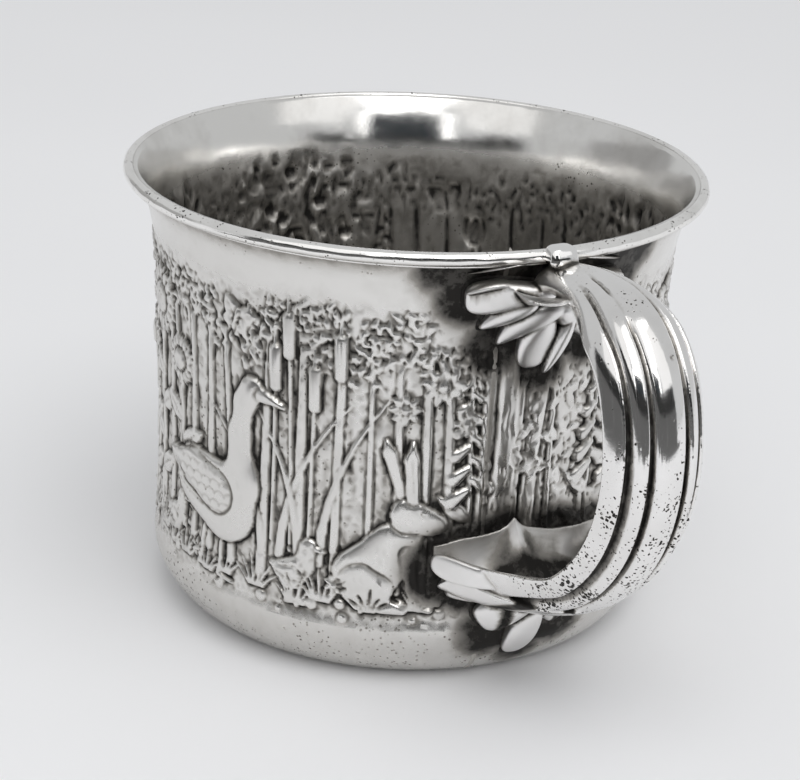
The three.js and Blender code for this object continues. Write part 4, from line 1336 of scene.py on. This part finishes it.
def thickened(mesh, thickness, outwards):
    """Gives a sheet its thickness, away from the side that faces a direction."""
    with opened(mesh) as made:
        bmesh.ops.recalc_face_normals(made, faces=made.faces)
        if sum(face.normal.dot(outwards) for face in made.faces) < 0:
            bmesh.ops.reverse_faces(made, faces=made.faces)
        bmesh.ops.solidify(made, geom=made.faces[:], thickness=thickness * MM)
    return mesh


def scoop_mesh():
    mesh = grid_mesh("scoop", 110 // coarse, 60 // coarse)
    share = positions(mesh) + 0.5
    place_vertices(mesh, scoop_sheet(share[:, 0] * 2 - 1, share[:, 1]) * MM)
    return thickened(mesh, 1.3, Vector((0, 0, 1)))


def nub_mesh():
    """A rounded block that laps over the lip, made from a ball pressed square."""
    made = bmesh.new()
    bmesh.ops.create_uvsphere(made, u_segments=32, v_segments=20, radius=1)
    for vertex in made.verts:
        x, y, z = (math.copysign(abs(part) ** 0.66, part) for part in vertex.co)
        dished = 0.25 * (1 - y ** 2) * (z > 0)
        vertex.co = Vector((42.5 + 1.6 * x - 0.3 * z, -1.2 + 2.1 * y * (1 - 0.12 * z),
                            64.9 + 1.5 * z - dished)) * MM
    return as_mesh(made, "nub")


def cast(name, meshes, voxel, most, slot, *nodes):
    """Casts several closed meshes into one skin, smooths it and thins it."""
    made = bmesh.new()
    for mesh in meshes:
        made.from_mesh(mesh)
        bpy.data.meshes.remove(mesh)
    piece = shown(name, as_mesh(made, name), slot, *nodes)
    with_modifier(piece, "REMESH", mode="VOXEL", voxel_size=voxel * coarse * MM, adaptivity=0)
    with_modifier(piece, "SMOOTH", factor=0.5, iterations=3)
    triangles = 2 * len(piece.data.polygons)
    if triangles > most:
        with_modifier(piece, "DECIMATE", ratio=most / triangles)
    piece.data.shade_smooth()
    print(name, "cast:", triangle_count(piece.data), "triangles")
    return piece


ALL_LEAVES = UPPER_LEAVES + LOWER_LEAVES + LIP_RIDGES + SCOOP_RIMS + NECKS
parts = [strap_mesh(), scoop_mesh(), nub_mesh()] + [lobe_mesh(*leaf_of) for leaf_of in ALL_LEAVES]
handle = cast("fluted_handle", parts, 0.17, 192000, "polished_silver", "handle")


# %% Tarnish and painted shade of a casting
def neighbours_mean(mesh, values, rounds):
    """Spreads values over a mesh, corner to corner, which blurs them."""
    ends = np.empty(len(mesh.edges) * 2, dtype=np.int32)
    mesh.edges.foreach_get("vertices", ends)
    first, second = ends[::2], ends[1::2]
    count = len(mesh.vertices)
    degree = np.bincount(first, minlength=count) + np.bincount(second, minlength=count) + 1.0
    for _ in range(rounds):
        values = np.stack([(column + np.bincount(first, column[second], count)
                            + np.bincount(second, column[first], count)) / degree
                           for column in values.T], 1)
    return values


def directions(mesh):
    flat = np.empty(len(mesh.vertices) * 3, dtype=np.float32)
    mesh.vertex_normals.foreach_get("vector", flat)
    return flat.reshape(-1, 3)


def groove_darkness(points):
    """How deep in a groove of the strap each point of the skin lies, from 0 to 1."""
    share = np.linspace(0, 1, 401)
    (x, z), (along_x, along_z) = on_path(share)
    nearest = np.concatenate([np.argmin((part[:, :1] - x) ** 2 + (part[:, 2:] - z) ** 2, axis=1)
                              for part in np.array_split(points, 12)])
    width, crown = section_at(share)
    across = points[:, 1] / width[nearest]
    below = ((points[:, 0] - x[nearest]) * along_z[nearest]
             - (points[:, 2] - z[nearest]) * along_x[nearest])
    depth = below - crown_at(np.clip(across, -HALF_WIDTH, HALF_WIDTH)) * crown[nearest]
    return grooves_at(share[nearest], across) * (depth < 1.5) * (np.abs(across) < HALF_WIDTH)


def scoop_shade(points, out):
    """Painted shade on the scoop's floor, down where it meets the strap's hollow back."""
    a, t = np.meshgrid(np.linspace(-0.42, 0.62, 14), np.linspace(0.24, 1, 11))
    floor_points = scoop_sheet(a.ravel(), t.ravel())
    far = np.full(len(points), 9.0)
    low = np.nonzero((points[:, 2] < 26) & (points[:, 0] > 38))[0]
    for part in np.array_split(low, 12):
        gaps = points[part][:, None] - floor_points[None]
        far[part] = np.min(np.linalg.norm(gaps, axis=2), axis=1)
    faces_in = smooth_step(0.94 * out[:, 2] - 0.35 * out[:, 0], -0.1, 0.3)
    return np.clip(1.5 - far / 2.0, 0, 1) * faces_in


def sunk(mesh, points, out, rounds):
    """How far each point lies below the skin round it, in millimetres."""
    return np.sum((neighbours_mean(mesh, points, rounds) - points) * out, axis=1)


def casting_tarnish_and_shade(piece):
    mesh = piece.data
    points = positions(mesh) / MM
    out = directions(mesh)
    height = points[:, 2]
    clear = np.hypot(points[:, 0], points[:, 1]) - wall_radius(height)
    leafy = np.clip((9 - clear) / 4, 0, 1)
    fine = np.clip(sunk(mesh, points, out, 14) * 11.0 * (0.45 + 0.85 * leafy), 0, 1)
    wide = np.clip(sunk(mesh, points, out, 150) * 0.6 * (1 - 0.8 * leafy), 0, 0.5)
    crevice = np.clip(1 - clear / 1.1, 0, 1) ** 1.5 * (height < 63)
    # Painted shade just under the lip, on upward-facing parts close to the wall.
    below_lip_shade = ((height > 59.5) * (height < 63.5) * np.clip((3.4 - clear) / 1.2, 0, 1)
                 * np.clip(out[:, 2] + 0.2, 0, 1))
    dark = fine + wide + 0.85 * crevice + 0.5 * below_lip_shade
    dark = np.maximum(dark, np.clip(groove_darkness(points) * 4.2 - 1.5, 0, 1))
    dark = np.clip(np.maximum(dark, scoop_shade(points, out)), 0, 1)
    dark = neighbours_mean(mesh, dark[:, None], 1)[:, 0]
    keep_numbers(mesh, "satin", np.clip(1.8 - clear / 8, 0, 1) * (height < 63))
    keep_numbers(mesh, "tarnish_and_shade", dark)
    return dark


dark = casting_tarnish_and_shade(handle)
print("handle tarnish, mean", round(float(dark.mean()), 3))
handle.data.materials.append(silver("cast_silver", (0.90, 0.89, 0.88), 0.10, 0.12, pits=1.05,
                                    tarnish_and_shade="tarnish_and_shade", satin="satin"))

# %% [markdown]
# ## Solder
# Silver solder is duller and greyer than silver. It fills the wall's seam beside the handle, makes
# a low bank round the leaves, and runs as a bead inside the corner of the bottom.

# %% Solder finish and beds
solder = silver("silver_solder", (0.62, 0.60, 0.57), 0.34, 0.5, tarnish_and_shade="tarnish_and_shade")
BED_HEIGHT, BED_MARGIN = 0.42, 0.5
SCOOP_BEDS = mirrored([
    ([(-4.0, 19.0, 1), (-8.0, 19.4, 1), (-13.6, 20.2, 1)], (4.0, 4.6, 3.6), 0.8),
])


def soldered(piece, tarnish_and_shade):
    """Keeps a tarnish, the same all over or one number for each corner, and gives the finish."""
    keep_numbers(piece.data, "tarnish_and_shade", np.zeros(len(piece.data.vertices)) + tarnish_and_shade)
    piece.data.materials.append(solder)


def solder_bed(name, leaves, node_name):
    """A low bank of solder under leaves, a little wider than they are."""
    bed = [lobe_mesh([(u, z, BED_HEIGHT) for u, z, _ in spine], widths, blunt, margin=BED_MARGIN)
           for spine, widths, blunt, *_ in leaves]
    soldered(cast(name, bed, 0.22, 60000, "solder", node_name), 1.0)


solder_bed("solder_round_upper_leaves", UPPER_LEAVES, "handle_top_solder")
solder_bed("solder_round_lower_leaves", LOWER_LEAVES + SCOOP_BEDS, "handle_foot_solder")


# %% Seam solder
def seam_mesh():
    """The line of solder in the wall's seam, with a few blobs, as deep as the sheet is thick."""
    points, ways = outline(12, 180, 50)
    mesh = grid_mesh("wall_seam_solder", 8, len(points) - 1)
    share = positions(mesh) + 0.5
    row = rows_of(share[:, 1], len(points))
    across, level = (share[:, 0] - 0.5) * 0.7, points[row, 1]
    swell = (0.07 * np.sqrt(np.clip(1 - (across / 0.36) ** 2, 0, 1)) + 0.02 * np.sin(level * 2.3)
             + 0.02 * np.sin(level * 5.1 + 1))
    swell += (0.5 * np.exp(-((level - 30.5) / 0.9) ** 2)
              + 0.3 * np.exp(-((level - 28.2) / 0.5) ** 2))
    radius = points[row, 0] + ways[row, 0] * swell
    height = np.clip(level + ways[row, 1] * swell, 0, WALL_TOP)
    angle = SEAM_TURN + across / radius
    place_vertices(mesh, np.stack([radius * np.cos(angle), radius * np.sin(angle), height], 1) * MM)
    thickened(mesh, GAUGE + 0.2, Vector((math.cos(SEAM_TURN), math.sin(SEAM_TURN), 0)))
    points = positions(mesh)
    points[:, 2] = np.maximum(points[:, 2], 0)
    place_vertices(mesh, points)
    return mesh


seam = shown("wall_seam_solder_line", seam_mesh(), "solder", "wall_seam_solder")
x, y, height = (positions(seam.data) / MM).T
blobs = np.exp(-((height - 29.8) / 2) ** 2)
sooty = np.clip((np.abs(height - 38) - 11) / 2, 0, 1) * np.clip((height - 10) / 3, 0, 1)
outside = np.hypot(x, y) > wall_radius(height) - 0.3
dark = np.clip(0.1 + 0.25 * (height > 12) + 0.45 * sooty - 0.6 * blobs, 0.02, 1)
soldered(seam, np.where(outside, dark, 0.2))
print("seam filled")


# %% Bottom bead
def turned_mesh(name, profile, steps):
    """A closed profile of radius and height, spun round the cup's axis."""
    made = bmesh.new()
    corners = [made.verts.new((radius * MM, 0, height * MM)) for radius, height in profile]
    edges = [made.edges.new((a, b)) for a, b in zip(corners, corners[1:] + corners[:1])]
    bmesh.ops.spin(made, geom=corners + edges, cent=(0, 0, 0), axis=(0, 0, 1), angle=2 * math.pi,
                   steps=steps, use_merge=True)
    join_corners(made, 1e-7)
    bmesh.ops.recalc_face_normals(made, faces=made.faces)
    return as_mesh(made, name)


BEAD_REACH, BEAD_HEIGHT, BEAD_RISE = 1.35, 1.0, 0.75
bead_profile = []
for angle in np.linspace(0, 2 * math.pi, 28, endpoint=False):
    c, s = math.cos(angle), math.sin(angle)
    bead_profile.append((SEAT + BEAD_REACH * c * (0.9 if s > 0 else 1),
                         BEAD_HEIGHT + BEAD_RISE * max(s, -0.02)))
bead = shown("bottom_solder_bead", turned_mesh("bottom_solder_bead", bead_profile, 240), "solder",
             "bottom_solder")
points = positions(bead.data)
wave = np.arctan2(points[:, 1], points[:, 0])
points[:, 2] += (points[:, 2] > 1.3 * MM) * MM * 0.07 * (np.sin(17 * wave) + np.sin(41 * wave + 2))
place_vertices(bead.data, points)
soldered(bead, 0.45)
print("bead run in:", triangle_count(bead.data), "triangles")

# %% [markdown]
# ## The bottom
# The bottom is a flat disc let into the wall's turned-in flange. It has a softened edge and the
# faint slow unevenness of planished metal, which shows inside the cup as a wavering reflection.


# %% Bottom
BOTTOM_RADIUS, BOTTOM_THICKNESS = 27.3, 0.9


def bottom_mesh():
    """A disc with bevelled rims and rings of faces, so that its two sides can waver."""
    made = bmesh.new()
    bmesh.ops.create_circle(made, cap_ends=True, segments=192, radius=BOTTOM_RADIUS * MM)
    solid = bmesh.ops.extrude_face_region(made, geom=made.faces[:])
    raised = [part for part in solid["geom"] if isinstance(part, bmesh.types.BMVert)]
    bmesh.ops.translate(made, vec=(0, 0, BOTTOM_THICKNESS * MM), verts=raised)
    bmesh.ops.recalc_face_normals(made, faces=made.faces)
    rims = [edge for edge in made.edges if edge.calc_face_angle(0) > 1]
    bmesh.ops.bevel(made, geom=rims, offset=0.2 * MM, segments=3, profile=0.5, affect="EDGES",
                    material=-1)
    for side in (1, -1):
        cap = [face for face in made.faces if face.normal.z * side > 0.99 and len(face.verts) > 8]
        for width in [1.0 * MM] + [1.25 * MM] * 19:
            cap = [face for face in cap if face.is_valid]
            bmesh.ops.inset_region(made, faces=cap, thickness=width, depth=0)
        bmesh.ops.poke(made, faces=cap)
    mesh = as_mesh(made, "cup_bottom")
    points = positions(mesh)
    reach, angle = np.hypot(points[:, 0], points[:, 1]) / MM, np.arctan2(points[:, 1], points[:, 0])
    waver = 0.025 * np.sin(0.55 * reach + 1.3 * np.sin(3 * angle)) * np.cos(5 * angle + 0.3 * reach)
    domed = np.abs(waver) + 0.12 * np.clip(1 - reach / 24, 0, 1)
    rise = np.where(points[:, 2] < BOTTOM_THICKNESS / 2 * MM, domed, waver)
    points[:, 2] += rise * MM * np.clip((26.5 - reach) / 3, 0, 1)
    place_vertices(mesh, points)
    return mesh


bottom = shown("cup_bottom", bottom_mesh(), "plain_silver", "bottom")
bottom.data.materials.append(silver("planished_silver", (0.86, 0.85, 0.82), 0.26, 0.45, pits=0.3))
print("bottom:", len(bottom.data.polygons), "faces")

# %% [markdown]
# ## The lip wire
# A drawn wire of two rolls, a wide one over a narrow one, is soldered round the mouth. Its wide
# roll is pitted by old corrosion, and a dark line lies between the two, where no cloth reaches.


# %% Lip wire
LIP_RADIUS, LIP_TOP = 42.0, 65.4
UPPER_ROLL, LOWER_ROLL = 0.95, 0.3


def arc(radius, height, size, start, stop, count):
    """Points on a roll's section, from one angle to another in degrees."""
    return [(radius + size * math.cos(angle), height + size * math.sin(angle))
            for angle in map(math.radians, np.linspace(start, stop, count))]


def lip_profile():
    lower_height = LIP_TOP - 2 * UPPER_ROLL - LOWER_ROLL * 0.9
    lower_radius = float(wall_radius(lower_height)) + LOWER_ROLL * 0.75
    lower_roll = arc(lower_radius, lower_height, LOWER_ROLL, -95, 62, 12)
    upper_roll = arc(LIP_RADIUS - UPPER_ROLL, LIP_TOP - UPPER_ROLL, UPPER_ROLL, -62, 100, 20)
    against_wall = [(float(wall_radius(height)) + 0.04, height)
                    for height in np.linspace(65.0, lower_height - LOWER_ROLL * 0.9, 6)]
    return lower_roll + upper_roll + [(40.75, 65.28), (40.55, 65.16)] + against_wall[1:]


def wire_waver(turn, height):
    """How the drawn wire wavers round the mouth, in millimetres."""
    return (0.03 * np.sin(9 * turn + 1) + 0.02 * np.sin(23 * turn)
            + 0.012 * np.sin(57 * turn + 3 * height))


lip = shown("lip_wire_roll", turned_mesh("lip_wire_roll", lip_profile(), 720 // coarse),
            "polished_silver", "lip_wire")
x, y, height = (positions(lip.data) / MM).T
turn, radius = np.arctan2(y, x), np.hypot(x, y)
free = np.clip((radius - 41.1) / 0.4, 0, 1)
moved = radius - free * (0.05 - wire_waver(turn, height))
place_vertices(lip.data, np.stack([moved * np.cos(turn), moved * np.sin(turn), height], 1) * MM)
# Painted shade: the wire's undersides, which face down, are darkened.
under = np.clip(-directions(lip.data)[:, 2] - 0.25, 0, 1) * 0.6
between_rolls = np.exp(-((height - 63.42) / 0.12) ** 2) * (radius > 40.5) * 0.4
keep_numbers(lip.data, "tarnish_and_shade", np.clip(under + between_rolls, 0, 1))
lip.data.materials.append(silver("lip_silver", (0.93, 0.92, 0.90), 0.13, 0.15, pits=1.8,
                                 tarnish_and_shade="tarnish_and_shade"))
print("lip wire:", len(lip.data.polygons), "faces")
